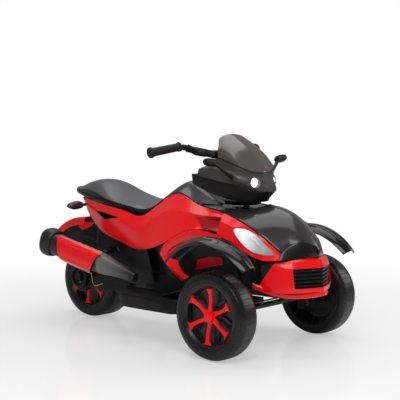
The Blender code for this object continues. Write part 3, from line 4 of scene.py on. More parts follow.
import bmesh
import bpy
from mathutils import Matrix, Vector
from mathutils.bvhtree import BVHTree
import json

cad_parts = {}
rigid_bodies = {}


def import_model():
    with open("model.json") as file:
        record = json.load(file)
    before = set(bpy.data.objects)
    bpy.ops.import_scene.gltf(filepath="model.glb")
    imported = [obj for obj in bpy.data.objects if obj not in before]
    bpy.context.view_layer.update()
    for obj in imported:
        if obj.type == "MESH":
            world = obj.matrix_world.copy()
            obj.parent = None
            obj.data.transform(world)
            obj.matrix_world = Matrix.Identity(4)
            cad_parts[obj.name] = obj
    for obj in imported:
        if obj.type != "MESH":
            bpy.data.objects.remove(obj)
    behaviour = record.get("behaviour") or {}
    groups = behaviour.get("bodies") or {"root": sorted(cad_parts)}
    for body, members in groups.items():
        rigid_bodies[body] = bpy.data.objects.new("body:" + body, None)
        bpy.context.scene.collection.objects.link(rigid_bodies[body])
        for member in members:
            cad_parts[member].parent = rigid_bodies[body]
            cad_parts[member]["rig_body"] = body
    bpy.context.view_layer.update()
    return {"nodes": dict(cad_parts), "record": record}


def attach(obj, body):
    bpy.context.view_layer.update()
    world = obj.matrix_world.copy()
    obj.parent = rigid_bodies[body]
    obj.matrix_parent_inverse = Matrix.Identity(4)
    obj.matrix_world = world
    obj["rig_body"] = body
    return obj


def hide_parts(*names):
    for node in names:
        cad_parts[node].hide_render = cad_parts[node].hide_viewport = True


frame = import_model()
nodes = frame["nodes"]
node_body = {node: obj["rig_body"] for node, obj in nodes.items()}
slot_of = {row["node"]: row["material_slot"] for row in frame["record"]["subparts"]}

# Sizes are in metres from the front axle's centre, as in the part's source.
# The tyres are solids with flat sides and stand on one of them, so the axle is a little under their radius.
TYRE_RADIUS = 0.150
TYRE_SIDES = 28
ORIGIN = Vector((0.0, -0.418, TYRE_RADIUS * math.cos(math.pi / TYRE_SIDES)))
WHEELBASE = 0.877
HALF_TRACK = 0.2905
RIGHT = -1
LEFT = 1
WORDS = ("right", "left")
SIDES = ((RIGHT, "right"), (LEFT, "left"))


def at(x, y, z):
    """A point given from the front axle's centre."""
    return ORIGIN + Vector((x, y, z))


def add(name, data):
    """Put a new object into the scene."""
    made = bpy.data.objects.new(name, data)
    bpy.context.scene.collection.objects.link(made)
    return made


def aim(thing, place, target):
    """Put a camera or lamp at a place, looking at a target."""
    thing.location = place
    thing.rotation_euler = (Vector(target) - Vector(place)).to_track_quat("-Z", "Y").to_euler()


# Camera
CAMERA_PLACE = (-2.94179, -2.68143, 0.82224)
CAMERA_TARGET = (0.0592, -0.0392, 0.4923)
camera_data = bpy.data.cameras.new("camera")
camera_data.sensor_width = 36.0
camera_data.lens = 95.47
camera = add("camera", camera_data)
aim(camera, CAMERA_PLACE, CAMERA_TARGET)
bpy.context.scene.camera = camera
bpy.context.scene.view_settings.view_transform = "Standard"


# Materials
class Look:
    """A node material that is built up one feature at a time."""

    def __init__(self, name, colour, roughness, metallic=0.0):
        self.material = bpy.data.materials.new(name)
        self.material.use_nodes = True
        self.tree = self.material.node_tree
        self.shader = self.tree.nodes["Principled BSDF"]
        self.base = self.shader.inputs["Base Color"]
        self.colour = colour
        self.base.default_value = (*colour, 1.0)
        self.shader.inputs["Roughness"].default_value = roughness
        self.shader.inputs["Metallic"].default_value = metallic
        self.roughness = roughness
        self.place = self.tree.nodes.new("ShaderNodeTexCoord").outputs["Object"]
        self.normal = None

    def new(self, kind, **settings):
        node = self.tree.nodes.new(kind)
        for key, value in settings.items():
            setattr(node, key, value)
        return node

    def link(self, source, target):
        self.tree.links.new(source, target)

    def noise(self, scale, detail, rough=0.5):
        node = self.new("ShaderNodeTexNoise")
        node.inputs["Scale"].default_value = scale
        node.inputs["Detail"].default_value = detail
        node.inputs["Roughness"].default_value = rough
        self.link(self.place, node.inputs["Vector"])
        return node.outputs["Fac"]

    def ramp(self, source, colours):
        """Blend between colours given as (place, colour), the source saying the place."""
        node = self.new("ShaderNodeValToRGB")
        self.link(source, node.inputs["Fac"])
        line = node.color_ramp.elements
        while len(line) < len(colours):
            line.new(0.5)
        for element, (place, colour) in zip(line, colours):
            element.position = place
            element.color = (*colour, 1.0)
        return node.outputs["Color"]

    def vary(self, scale, spread):
        """Mottle the colour by a share of itself."""
        dark = [c * (1 - spread) for c in self.colour]
        light = [min(c * (1 + spread), 1.0) for c in self.colour]
        self.link(self.ramp(self.noise(scale, 4.0), [(0.35, dark), (0.65, light)]), self.base)
        return self

    def smudge(self, scale, spread):
        """Handled plastic: roughness that drifts over the surface."""
        node = self.new("ShaderNodeMapRange")
        node.inputs["From Min"].default_value = 0.3
        node.inputs["From Max"].default_value = 0.7
        node.inputs["To Min"].default_value = max(self.roughness - spread, 0.02)
        node.inputs["To Max"].default_value = min(self.roughness + spread, 1.0)
        self.link(self.noise(scale, 5.0, 0.6), node.inputs["Value"])
        self.link(node.outputs["Result"], self.shader.inputs["Roughness"])
        return self

    def relief(self, height, strength, distance):
        """Add one layer of bump over the ones before it, its distance in metres."""
        node = self.new("ShaderNodeBump")
        node.inputs["Strength"].default_value = strength
        node.inputs["Distance"].default_value = distance
        self.link(height, node.inputs["Height"])
        if self.normal:
            self.link(self.normal, node.inputs["Normal"])
        self.normal = node.outputs["Normal"]
        self.link(self.normal, self.shader.inputs["Normal"])
        return self

    def grain(self, scale, strength, distance=0.0004):
        """Fine, even bump, as on moulded plastic or dull metal."""
        return self.relief(self.noise(scale, 2.0), strength, distance)

    def pebble(self, scale, strength, distance=0.0004):
        """Moulded leather-like grain made of small cells."""
        node = self.new("ShaderNodeTexVoronoi")
        node.feature = "SMOOTH_F1"
        node.inputs["Scale"].default_value = scale
        self.link(self.place, node.inputs["Vector"])
        return self.relief(node.outputs["Distance"], strength, distance)

    def coat(self, weight, roughness):
        """A clear coat over the colour."""
        self.shader.inputs["Coat Weight"].default_value = weight
        self.shader.inputs["Coat Roughness"].default_value = roughness
        return self

    def shine(self, level):
        """How strongly the bare surface mirrors: ordinary plastic is at 0.5."""
        self.shader.inputs["Specular IOR Level"].default_value = level
        return self

    def glow(self, colour, strength):
        """Give off light of one colour."""
        self.shader.inputs["Emission Color"].default_value = (*colour, 1.0)
        self.shader.inputs["Emission Strength"].default_value = strength
        return self

    def maths(self, operation, first, second=None, third=None):
        node = self.new("ShaderNodeMath", operation=operation)
        for socket, value in zip(node.inputs, (first, second, third)):
            if isinstance(value, (int, float)):
                socket.default_value = value
            elif value is not None:
                self.link(value, socket)
        return node.outputs[0]

    def length(self, first, second):
        """Square root of the sum of two squares."""
        squares = [self.maths("MULTIPLY", value, value) for value in (first, second)]
        return self.maths("POWER", self.maths("ADD", *squares), 0.5)

    def axes(self, centre=(0.0, 0.0, 0.0)):
        """Distances along X, Y and Z from a point of the object."""
        node = self.new("ShaderNodeSeparateXYZ")
        self.link(self.place, node.inputs[0])
        return [self.maths("SUBTRACT", out, start) for out, start in zip(node.outputs, centre)]

    def polar(self, centre):
        """Angle and radius round an axis along X."""
        y, z = self.axes(centre)[1:]
        return self.maths("ARCTAN2", z, y), self.length(y, z)

    def band(self, source, low, high, soft):
        """One between low and high, nought outside, with soft borders."""
        edges = []
        for start, end in ((low - soft, low + soft), (high + soft, high - soft)):
            node = self.new("ShaderNodeMapRange")
            node.interpolation_type = "SMOOTHSTEP"
            node.inputs["From Min"].default_value = min(start, end)
            node.inputs["From Max"].default_value = max(start, end)
            node.inputs["To Min"].default_value = 0.0 if start < end else 1.0
            node.inputs["To Max"].default_value = 1.0 if start < end else 0.0
            self.link(source, node.inputs["Value"])
            edges.append(node.outputs["Result"])
        return self.maths("MULTIPLY", *edges)

    def inside(self, corners, soft):
        """One inside a convex outline given as (y, z) from the front axle, seen along X."""
        y, z = self.axes(ORIGIN)[1:]
        middle_y = sum(corner[0] for corner in corners) / len(corners)
        middle_z = sum(corner[1] for corner in corners) / len(corners)
        mask = None
        for (y0, z0), (y1, z1) in zip(corners, corners[1:] + corners[:1]):
            length = math.hypot(y1 - y0, z1 - z0)
            a, b = (z0 - z1) / length, (y1 - y0) / length
            if a * (middle_y - y0) + b * (middle_z - z0) < 0:
                a, b = -a, -b
            reach = self.maths("MULTIPLY_ADD", y, a, self.maths("MULTIPLY_ADD", z, b, -a * y0 - b * z0))
            edge = self.band(reach, 0.0, FAR, soft)
            mask = edge if mask is None else self.maths("MULTIPLY", mask, edge)
        return mask

    def paint(self, mask, colour):
        """Lay another colour over the base where the mask is one."""
        node = self.new("ShaderNodeMix", data_type="RGBA")
        self.link(mask, node.inputs["Factor"])
        if self.base.is_linked:
            self.link(self.base.links[0].from_socket, node.inputs["A"])
        else:
            node.inputs["A"].default_value = self.base.default_value
        node.inputs["B"].default_value = (*colour, 1.0)
        self.link(node.outputs["Result"], self.base)
        return self

    def stops(self, source, colours, glow=0.0):
        """Lay colours given as (place, colour) along a source, which may also glow faintly."""
        line = self.ramp(source, colours)
        self.link(line, self.base)
        if glow:
            self.link(line, self.shader.inputs["Emission Color"])
            self.shader.inputs["Emission Strength"].default_value = glow
        return self


# Colours of several looks, and a bound that no distance on the object reaches
RED = (0.88, 0.0, 0.004)
# Darker red laid in the scoops as painted shade
SCOOP_PAINTED_SHADE = (0.34, 0.0, 0.003)
BLACK = (0.004, 0.004, 0.0045)
RIM_BLACK = (0.010, 0.010, 0.011)
CAN_BLACK = (0.008, 0.008, 0.009)
FAR = 9.0


def red_panel(name):
    """Glossy red moulding under a thin clear coat."""
    look = Look(name, RED, 0.24).vary(5, 0.05).smudge(14, 0.05)
    return look.grain(260, 0.08, 0.0002).coat(0.25, 0.10).shine(0.35)


def black_panel(name, roughness):
    """Black moulding with a leather-like grain."""
    look = Look(name, BLACK, roughness).vary(10, 0.15).smudge(18, 0.08)
    return look.pebble(700, 0.20).grain(60, 0.05).shine(0.22)


looks = {"red": red_panel("red_plastic")}
looks["red_trim"] = Look("red_trim", (0.90, 0.0, 0.006), 0.30).vary(9, 0.05).smudge(25, 0.05)
looks["red_trim"].grain(300, 0.10, 0.0002).shine(0.35)
for name in ("bumper", "tail", "arch", "side"):
    looks[name] = red_panel(name + "_plastic")
looks["guard"] = black_panel("mudguard_plastic", 0.44)

# Painted areas, with outlines as (y, z) from the front axle: tail vents, their recesses black as painted
# shade, plates on the arch panels, painted shade in the scoops and the rear mudguard's red plate
VENT = [(0.774, 0.291), (0.718, 0.2915), (0.612, 0.276), (0.706, 0.261)]
ARCH_PLATE = [(0.311, 0.166), (0.246, 0.214), (0.214, 0.204), (0.279, 0.153)]
GUARD_PLATE = [(0.930, 0.231), (0.815, 0.240), (0.838, 0.221), (0.885, 0.203)]
SCOOP_SHADE = [(0.196, 0.308), (0.092, 0.304), (0.090, 0.258), (0.146, 0.262)]
SHARP = 0.0005
SHADED = 0.004
AREAS = (
    # Painted shade: a darker red inside each scoop
    ("side", SCOOP_SHADE, SHADED, SCOOP_PAINTED_SHADE),
    # Painted shade: each tail vent's recess painted black
    ("tail", VENT, SHARP, BLACK),
    ("arch", ARCH_PLATE, SHARP, BLACK),
    ("guard", GUARD_PLATE, SHARP, RED),
)
for name, corners, soft, colour in AREAS:
    looks[name].paint(looks[name].inside(corners, soft), colour)

# The bumper's black cheeks: behind a slanting line and above the lip
CHEEK_SLANT = 0.583
CHEEK_FRONT = -0.0242
CHEEK_FOOT = 0.094
CHEEK_BORDER = 0.0006
bumper = looks["bumper"]
along, height = bumper.axes(ORIGIN)[1:]
slanted = bumper.maths("MULTIPLY_ADD", height, CHEEK_SLANT, along)
rear_part = bumper.band(slanted, CHEEK_FRONT, 1.0, CHEEK_BORDER)
high_part = bumper.band(height, CHEEK_FOOT, 1.0, CHEEK_BORDER)
bumper.paint(bumper.maths("MULTIPLY", rear_part, high_part), BLACK)

looks["black"] = black_panel("black_plastic", 0.42)
looks["gloss"] = Look("black_gloss", BLACK, 0.20).vary(6, 0.2).smudge(12, 0.05)
looks["gloss"].grain(220, 0.05, 0.0002).coat(0.3, 0.06).shine(0.25)
looks["grey"] = Look("grey_gloss", (0.026, 0.022, 0.023), 0.22).vary(6, 0.08).smudge(10, 0.06)
looks["grey"].grain(240, 0.05, 0.0002).coat(0.3, 0.10).shine(0.4)
looks["satin"] = Look("grey_satin", (0.045, 0.040, 0.040), 0.34).vary(8, 0.1).smudge(14, 0.07)
looks["satin"].grain(500, 0.15, 0.0003).shine(0.4)

# Seat: grey on top, and a black rim where its faces turn down
seat = Look("seat_plastic", (0.085, 0.085, 0.092), 0.34).vary(8, 0.1).smudge(11, 0.07)
seat.pebble(420, 0.25).shine(0.4)
slope = seat.new("ShaderNodeSeparateXYZ")
seat.link(seat.place.node.outputs["Normal"], slope.inputs[0])
seat.paint(seat.band(slope.outputs["Z"], -FAR, 0.45, 0.08), (0.006, 0.006, 0.007))
looks["seat"] = seat

# A darker copy of the red: painted shade on the body inside the arch sheets
looks["shade_red"] = Look("painted_shade_red", (0.42, 0.0, 0.012), 0.30).vary(9, 0.2).smudge(25, 0.05)
looks["shade_red"].grain(300, 0.1).shine(0.2)
looks["rim"] = Look("rim_plastic", RIM_BLACK, 0.26).vary(12, 0.2).smudge(20, 0.08)
looks["rim"].grain(300, 0.15).shine(0.35)
looks["steel"] = Look("black_steel", RIM_BLACK, 0.42, 0.3).vary(20, 0.2).smudge(30, 0.10).grain(150, 0.15)
looks["axle"] = Look("plated_steel", (0.55, 0.55, 0.56), 0.30, 1.0).vary(30, 0.1).smudge(60, 0.10)
looks["axle"].grain(400, 0.10)
looks["grip"] = Look("grip_rubber", (0.009, 0.008, 0.008), 0.58).vary(20, 0.2)
looks["grip"].pebble(520, 0.5, 0.0006).shine(0.35)
looks["wire"] = Look("wire_sleeve", (0.62, 0.55, 0.22), 0.40).vary(60, 0.08).grain(300, 0.1)
looks["battery"] = Look("battery_case", (0.05, 0.05, 0.06), 0.45).vary(20, 0.1).grain(200, 0.1)
looks["smoke"] = Look("smoked_plastic", (0.066, 0.054, 0.050), 0.18).vary(7, 0.15).smudge(9, 0.05)
looks["smoke"].grain(160, 0.05, 0.0002).coat(0.3, 0.06).shine(0.45)
looks["signal"] = Look("signal_plastic", (0.016, 0.016, 0.020), 0.22).vary(14, 0.15).smudge(20, 0.05)
looks["signal"].coat(0.3, 0.08)
looks["strut"] = Look("strut_steel", (0.20, 0.20, 0.21), 0.34, 0.7).vary(40, 0.1).smudge(40, 0.08)
looks["strut"].grain(300, 0.1)
looks["bulb"] = Look("pod_lamp_glow", (0.86, 0.90, 0.95), 0.12).vary(60, 0.05).glow((0.92, 0.96, 1.0), 2.5)

# Headlight, in painted reflection: a dark rear border, then a bright reflector that darkens towards the
# front tip
LENS_REAR = ORIGIN.y + 0.052
LENS_LENGTH = 0.210
LENS_GLOW = 0.40
LENS_PAINTED_REFLECTION = [
    (0.06, (0.015, 0.018, 0.022)), (0.20, (0.07, 0.08, 0.09)), (0.27, (0.80, 0.86, 0.92)),
    (0.42, (0.86, 0.90, 0.92)), (0.66, (0.32, 0.34, 0.35)), (0.98, (0.08, 0.09, 0.10)),
]
lens = Look("headlight_lens", (0.7, 0.7, 0.7), 0.08).smudge(40, 0.03).coat(0.6, 0.04)
run = lens.maths("DIVIDE", lens.maths("SUBTRACT", LENS_REAR, lens.axes()[1]), LENS_LENGTH)
wave = lens.maths("MULTIPLY_ADD", lens.noise(34, 3.0), 0.10, run)
lens.stops(wave, LENS_PAINTED_REFLECTION, LENS_GLOW).grain(90, 0.1, 0.0006)
looks["lens"] = lens

# Tyres: curved sipes over the shoulders, two ring lines on each side wall, and dimples on the rear tyre,
# all cut by bump and darkened with painted shade
SIPES = 46
SIPE_SLANT = 34.0
SIPE_WIDTH = 0.16
SIPE_BAND = (0.1350, 0.1488)
RING_LINE = (0.1225, 0.1238)
LIP_LINE = (0.1145, 0.1160)
DIMPLES = 30
DIMPLE_CIRCLE = 0.131
DIMPLE_RADIUS = 0.0032
CUT_DEPTH = 0.0040
for name, axle_y in (("front", 0.0), ("rear", WHEELBASE)):
    look = Look(name + "_tyre_plastic", (0.005, 0.005, 0.006), 0.30).vary(14, 0.2).smudge(20, 0.10)
    look.grain(340, 0.2).shine(0.35)
    angle, radius = look.polar(at(0.0, axle_y, 0.0))
    turned = look.maths("MULTIPLY_ADD", radius, SIPE_SLANT, look.maths("MULTIPLY", angle, SIPES / 2))
    wave = look.maths("ABSOLUTE", look.maths("SINE", turned))
    groove = look.band(wave, -1.0, SIPE_WIDTH, 0.05)
    shoulder = look.band(radius, *SIPE_BAND, 0.0012)
    sipe = look.maths("MULTIPLY", groove, shoulder)
    ring = look.band(radius, *RING_LINE, 0.0004)
    lip = look.band(radius, *LIP_LINE, 0.0005)
    cuts = look.maths("MAXIMUM", sipe, look.maths("MAXIMUM", ring, lip))
    if name == "rear":
        turn = look.maths("MULTIPLY", angle, DIMPLES / math.tau)
        cell = look.maths("SUBTRACT", look.maths("FRACT", turn), 0.5)
        across = look.maths("MULTIPLY", cell, math.tau / DIMPLES * DIMPLE_CIRCLE)
        outward = look.maths("SUBTRACT", radius, DIMPLE_CIRCLE)
        dimple = look.band(look.length(across, outward), -1.0, DIMPLE_RADIUS, 0.0006)
        cuts = look.maths("MAXIMUM", cuts, dimple)
    look.relief(look.maths("SUBTRACT", 1.0, cuts), 1.0, CUT_DEPTH)
    # Painted shade: the cuts darker in colour
    look.paint(look.maths("MULTIPLY", cuts, 0.6), (0.002, 0.002, 0.002))
    looks[name + "_tyre"] = look

# Exhaust: black cap and can, then a satin grey pipe that darkens to its front end
PIPE_START = ORIGIN.y + 0.668
PIPE_LENGTH = 0.20
PIPE_COLOURS = [
    (0.0, CAN_BLACK), (0.04, (0.16, 0.155, 0.15)), (0.35, (0.10, 0.10, 0.10)), (0.8, RIM_BLACK),
]
exhaust = Look("exhaust_plastic", CAN_BLACK, 0.40).vary(9, 0.2).smudge(16, 0.07)
run = exhaust.maths("DIVIDE", exhaust.maths("SUBTRACT", PIPE_START, exhaust.axes()[1]), PIPE_LENGTH)
exhaust.stops(run, PIPE_COLOURS).grain(240, 0.1, 0.0002)
looks["exhaust"] = exhaust

# The look of each material slot, and of the nodes that have one of their own
SLOT_LOOK = {
    "red_gloss": "red", "black_plastic": "black", "black_gloss": "gloss", "grey_gloss": "grey",
    "grey_satin": "satin", "tyre": "front_tyre", "clear_lens": "lens", "smoked_lens": "smoke",
    "black_steel": "steel", "axle_steel": "axle", "wire": "wire", "battery_case": "battery", "grip": "grip",
}
NODE_LOOK = {"seat": "seat", "front_bumper": "bumper", "rear_mudguard": "guard", "muffler_can": "exhaust"}
for word in WORDS:
    NODE_LOOK[word + "_tail_panel"] = "tail"
    NODE_LOOK[word + "_side_panel"] = "side"
    NODE_LOOK[word + "_arch_panel"] = "arch"
    NODE_LOOK[word + "_turn_signal"] = "signal"
    NODE_LOOK[word + "_pod_lamp"] = "bulb"
for name in ("front_right", "front_left", "rear"):
    NODE_LOOK[name + "_rim"] = "rim"
    NODE_LOOK[name + "_spoke_trim"] = "red_trim"
    NODE_LOOK[name + "_tyre"] = name.split("_")[0] + "_tyre"


def finish_of(node):
    return looks[NODE_LOOK.get(node, SLOT_LOOK[slot_of[node]])].material


# Fine copies of the solids: welded, with rounded edges and smooth curves
WELD = 2e-5
SHORTEST_EDGE = 1e-5
FLAT_ANGLE = math.radians(12)
SHAPE_ANGLE = math.radians(60)
FOLD_ANGLE = 34.0
FINE_BEVEL = 0.0008
OWN_BEVEL = 0.0004


def soften(piece, width, angle):
    """Round the edges that fold by more than an angle in degrees."""
    edges = piece.modifiers.new("edges", "BEVEL")
    edges.width = width
    edges.segments = 2
    edges.limit_method = "ANGLE"
    edges.angle_limit = math.radians(angle)


def fine(node, levels, angle):
    """Replace a node by a smooth copy, creased where it folds by more than the angle."""
    bm = bmesh.new()
    bm.from_mesh(nodes[node].data)
    bmesh.ops.remove_doubles(bm, verts=bm.verts, dist=WELD)
    bmesh.ops.dissolve_degenerate(bm, edges=bm.edges, dist=SHORTEST_EDGE)
    bmesh.ops.join_triangles(bm, faces=bm.faces, angle_face_threshold=FLAT_ANGLE,
                             angle_shape_threshold=SHAPE_ANGLE)
    bmesh.ops.recalc_face_normals(bm, faces=bm.faces)
    crease = bm.edges.layers.float.get("crease_edge") or bm.edges.layers.float.new("crease_edge")
    for edge in bm.edges:
        if len(edge.link_faces) != 2 or edge.calc_face_angle(0.0) > math.radians(angle):
            edge[crease] = 1.0
    mesh = bpy.data.meshes.new(node + "_fine")
    bm.to_mesh(mesh)
    bm.free()
    mesh.shade_smooth()
    mesh.materials.append(finish_of(node))
    piece = add(node + "_fine", mesh)
    if levels:
        surface = piece.modifiers.new("surface", "SUBSURF")
        surface.levels = levels
        surface.render_levels = levels
    soften(piece, FINE_BEVEL, angle)
    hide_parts(node)
    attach(piece, node_body[node])
    return piece


# Bars and boxes that aren't subdivided, and panels that crease at smaller folds, in degrees
SMOOTH_LEVELS = 2
PLAIN = ("front_beam", "right_knuckle", "left_knuckle", "tie_rod", "main_frame", "rear_axle", "battery",
         "accelerator_pedal", "turn_rocker", "motor_cable")
FOLDED = {"right_side_panel": 20.0, "left_side_panel": 20.0, "front_bumper": 24.0, "hood": 26.0}
fine_piece = {}
for node in nodes:
    levels = 0 if node in PLAIN else SMOOTH_LEVELS
    fine_piece[node] = fine(node, levels, FOLDED.get(node, FOLD_ANGLE))

# Small pieces of the scene's own, some of them laid on a panel by casting a ray onto it from outside
OUTSIDE = 0.6
SUNK = 0.0008
skins = {}


def land(node, start, way):
    """Where a ray meets a node's solid, and the outward normal there."""
    if node not in skins:
        mesh = nodes[node].data
        skins[node] = BVHTree.FromPolygons([vertex.co for vertex in mesh.vertices],
                                           [tuple(face.vertices) for face in mesh.polygons])
    place, normal = skins[node].ray_cast(start, way)[:2]
    return place, normal if normal.dot(way) < 0 else -normal


def own_piece(name, verts, faces, look, node, flat=False):
    """A new mesh that rides the same body as a node."""
    mesh = bpy.data.meshes.new(name)
    mesh.from_pydata([tuple(v) for v in verts], [], faces)
    bm = bmesh.new()
    bm.from_mesh(mesh)
    bmesh.ops.recalc_face_normals(bm, faces=bm.faces)
    bm.to_mesh(mesh)
    bm.free()
    if not flat:
        mesh.shade_smooth()
    mesh.materials.append(looks[look].material)
    piece = add(name, mesh)
    soften(piece, OWN_BEVEL, FOLD_ANGLE)
    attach(piece, node_body[node])


def ring_faces(rings, corners):
    """Faces of a closed bar whose points are rings of corners, one ring after another."""
    faces = []
    for k in range(rings - 1):
        for j in range(corners):
            a, b = k * corners + j, k * corners + (j + 1) % corners
            faces.append((a, b, b + corners, a + corners))
    last = (rings - 1) * corners
    return faces + [tuple(range(corners)), tuple(range(last, last + corners))]


def patch(name, node, side, outline, thickness, look):
    """A thin plate on a flank, its outline given as (y, z) from the front axle."""
    low, high = [], []
    for y, z in outline:
        place, normal = land(node, at(side * OUTSIDE, y, z), Vector((-side, 0, 0)))
        high.append(place + normal * thickness)
        low.append(place - normal * SUNK)
    own_piece(name, high + low, ring_faces(2, len(outline)), look, node, flat=True)


def round_bar(name, points, radius, look, node, sides):
    """A bar of round section along a list of points."""
    verts = []
    for k, point in enumerate(points):
        way = (points[min(k + 1, len(points) - 1)] - points[max(k - 1, 0)]).normalized()
        across = way.cross(Vector((1, 0, 0)) if abs(way.x) < 0.8 else Vector((0, 0, 1))).normalized()
        up = across.cross(way)
        for j in range(sides):
            turn = math.tau * j / sides
            verts.append(point + (across * math.cos(turn) + up * math.sin(turn)) * radius)
    own_piece(name, verts, ring_faces(len(points), sides), look, node)


# The scoop behind each headlight gets its sharp front wall, and runs out towards the rear
SCOOP_TOP = [(0.085, 0.309), (0.150, 0.314), (0.215, 0.311)]
SCOOP_FOOT = [(0.085, 0.247), (0.130, 0.250), (0.167, 0.262), (0.215, 0.306)]
SCOOP_DEPTH = 0.024
SCOOP_FRONT = 0.080
SCOOP_REAR = 0.218
SCOOP_RUN = 0.120
SCOOP_WALL = 0.006
SCOOP_SILL = 0.010


def between(line, y):
    """Height of a line of (y, z) points at y."""
    for (y0, z0), (y1, z1) in zip(line, line[1:]):
        if y <= y1:
            return z0 + (z1 - z0) * (y - y0) / (y1 - y0)
    return line[-1][1]


def ease(value):
    """Nought to one with a soft start and end."""
    value = min(max(value, 0.0), 1.0)
    return value * value * (3 - 2 * value)


for side, word in SIDES:
    piece = fine_piece[word + "_side_panel"]
    graph = bpy.context.evaluated_depsgraph_get()
    carved = bpy.data.meshes.new_from_object(piece.evaluated_get(graph))
    piece.modifiers.clear()
    piece.data = carved
    for vertex in carved.vertices:
        y = vertex.co.y - ORIGIN.y
        z = vertex.co.z - ORIGIN.z
        if SCOOP_FRONT < y < SCOOP_TOP[-1][0]:
            deep = ease((SCOOP_REAR - y) / SCOOP_RUN) * ease((y - SCOOP_FRONT) / SCOOP_WALL)
            deep *= ease((between(SCOOP_TOP, y) - z) / SCOOP_WALL)
            deep *= ease((z - between(SCOOP_FOOT, y)) / SCOOP_SILL)
            vertex.co.x -= side * SCOOP_DEPTH * deep

# Front mudguards: two fine ridges on the crown that end in a hook near the front tip
GUARD_Y = 0.030
GUARD_Z = 0.020
GUARD_OUTSIDE = 0.30
RIDGE_RADIUS = 0.0011
RIDGE_LIFT = 0.0002
RIDGE_INSETS = (0.010, 0.019)
RIDGE_TURNS = [math.radians(-40 + 5.5 * k) for k in range(16)]
HOOK_TURN = math.radians(-43)
HOOK_OUT = 0.012


def on_crown(guard, x, turn):
    """A point on a front mudguard, found by its turn round the guard's centre."""
    out = Vector((0.0, math.sin(turn), math.cos(turn)))
    place, normal = land(guard, at(x, GUARD_Y, GUARD_Z) + out * GUARD_OUTSIDE, -out)
    return place + normal * RIDGE_LIFT


for side, word in SIDES:
    guard = word + "_front_mudguard"
    for number, inset in enumerate(RIDGE_INSETS):
        line = [on_crown(guard, side * (HALF_TRACK - inset + HOOK_OUT), HOOK_TURN)]
        line += [on_crown(guard, side * (HALF_TRACK - inset), turn) for turn in RIDGE_TURNS]
        round_bar(f"{word}_mudguard_ridge_{number}", line, RIDGE_RADIUS, "gloss", guard, 8)

# The wide red sheet behind each arch band, its outlines given as (y, z), and the body inside it in a darker
# red, painted shade
SHEET_OUTER = [(0.150, 0.232), (0.191, 0.238), (0.232, 0.229), (0.268, 0.216),
               (0.297, 0.199), (0.321, 0.171), (0.304, 0.138), (0.262, 0.113)]
SHEET_INNER = [(0.150, 0.214), (0.181, 0.214), (0.208, 0.202), (0.232, 0.190),
               (0.255, 0.176), (0.270, 0.160), (0.266, 0.134), (0.240, 0.104)]
SHEET_X = 0.190
SHEET_LEAN = 0.004
SHEET_WALL = 0.003
PATCH_OUTLINE = [(0.214, 0.152), (0.163, 0.166), (0.099, 0.170), (0.099, 0.144), (0.163, 0.130),
                 (0.232, 0.114)]
PATCH_WALL = 0.003
for side, word in SIDES:
    verts = []
    for outer, inner in zip(SHEET_OUTER, SHEET_INNER):
        verts += [at(side * SHEET_X, *outer), at(side * (SHEET_X - SHEET_LEAN), *inner),
                  at(side * (SHEET_X - SHEET_LEAN - SHEET_WALL), *inner),
                  at(side * (SHEET_X - SHEET_WALL), *outer)]
    faces = ring_faces(len(SHEET_OUTER), 4)
    own_piece(word + "_arch_sheet", verts, faces, "arch", word + "_arch_panel")
    # The body inside, in darker red as painted shade
    patch(word + "_inner_body", "body_tub", side, PATCH_OUTLINE, PATCH_WALL, "shade_red")

# Bright lines along the heat shield's edges, a painted highlight made of thin metal bars, placed by the
# formula of the part's source
EXHAUST_REAR = at(-0.200, 0.958, 0.168)
EXHAUST_WAY = Vector((0.030, -0.458, -0.106)).normalized()
EXHAUST_SIDE = EXHAUST_WAY.cross(Vector((0, 0, 1))).normalized()
EXHAUST_UP = EXHAUST_SIDE.cross(EXHAUST_WAY)
SHIELD_HALF_WIDTH = 0.0465
SHIELD_HALF_HEIGHT = 0.0495
SHIELD_SQUARENESS = 0.77
SHIELD_TURN = math.radians(74)
SHIELD_SLANT = 0.020
SHIELD_REAR = 0.102
SHIELD_FRONT = 0.290
SHIELD_HIGHLIGHT_RADIUS = 0.0014
edge_out = SHIELD_HALF_WIDTH * math.cos(SHIELD_TURN) ** SHIELD_SQUARENESS
edge_up = SHIELD_HALF_HEIGHT * math.sin(SHIELD_TURN) ** SHIELD_SQUARENESS
for word, way in (("top", 1), ("low", -1)):
    slant = way * SHIELD_SLANT * math.sin(SHIELD_TURN)
    corner = EXHAUST_REAR + EXHAUST_SIDE * edge_out + EXHAUST_UP * (way * edge_up)
    ends = [corner + EXHAUST_WAY * (SHIELD_REAR - slant), corner + EXHAUST_WAY * (SHIELD_FRONT + slant)]
    round_bar("shield_highlight_line_" + word, ends, SHIELD_HIGHLIGHT_RADIUS, "axle", "heat_shield", 10)

# The nose's bare disc with its ring, each between two heights over the nose, and the strut by the gearbox
DISC_HEIGHT = 0.203
DISC_RADIUS = 0.0105
RING_RADIUS = DISC_RADIUS * 0.62
DISC_SPAN = (-0.002, 0.0012)
RING_SPAN = (0.0008, 0.0020)
STRUT_ROUTE = [(-0.119, 0.640, 0.158), (-0.119, 0.634, 0.152), (-0.117, 0.586, 0.106),
               (-0.113, 0.580, 0.100)]
STRUT_RADIUS = 0.0048
place, normal = land("nose_cap", at(0.0, -0.5, DISC_HEIGHT), Vector((0, 1, 0)))
disc = [place + normal * level for level in DISC_SPAN]
ring = [place + normal * level for level in RING_SPAN]
round_bar("nose_disc", disc, DISC_RADIUS, "gloss", "nose_cap", 28)
round_bar("nose_disc_ring", ring, RING_RADIUS, "steel", "nose_cap", 24)
strut = [at(*point) for point in STRUT_ROUTE]
round_bar("side_strut", strut, STRUT_RADIUS, "strut", "right_side_housing", 12)

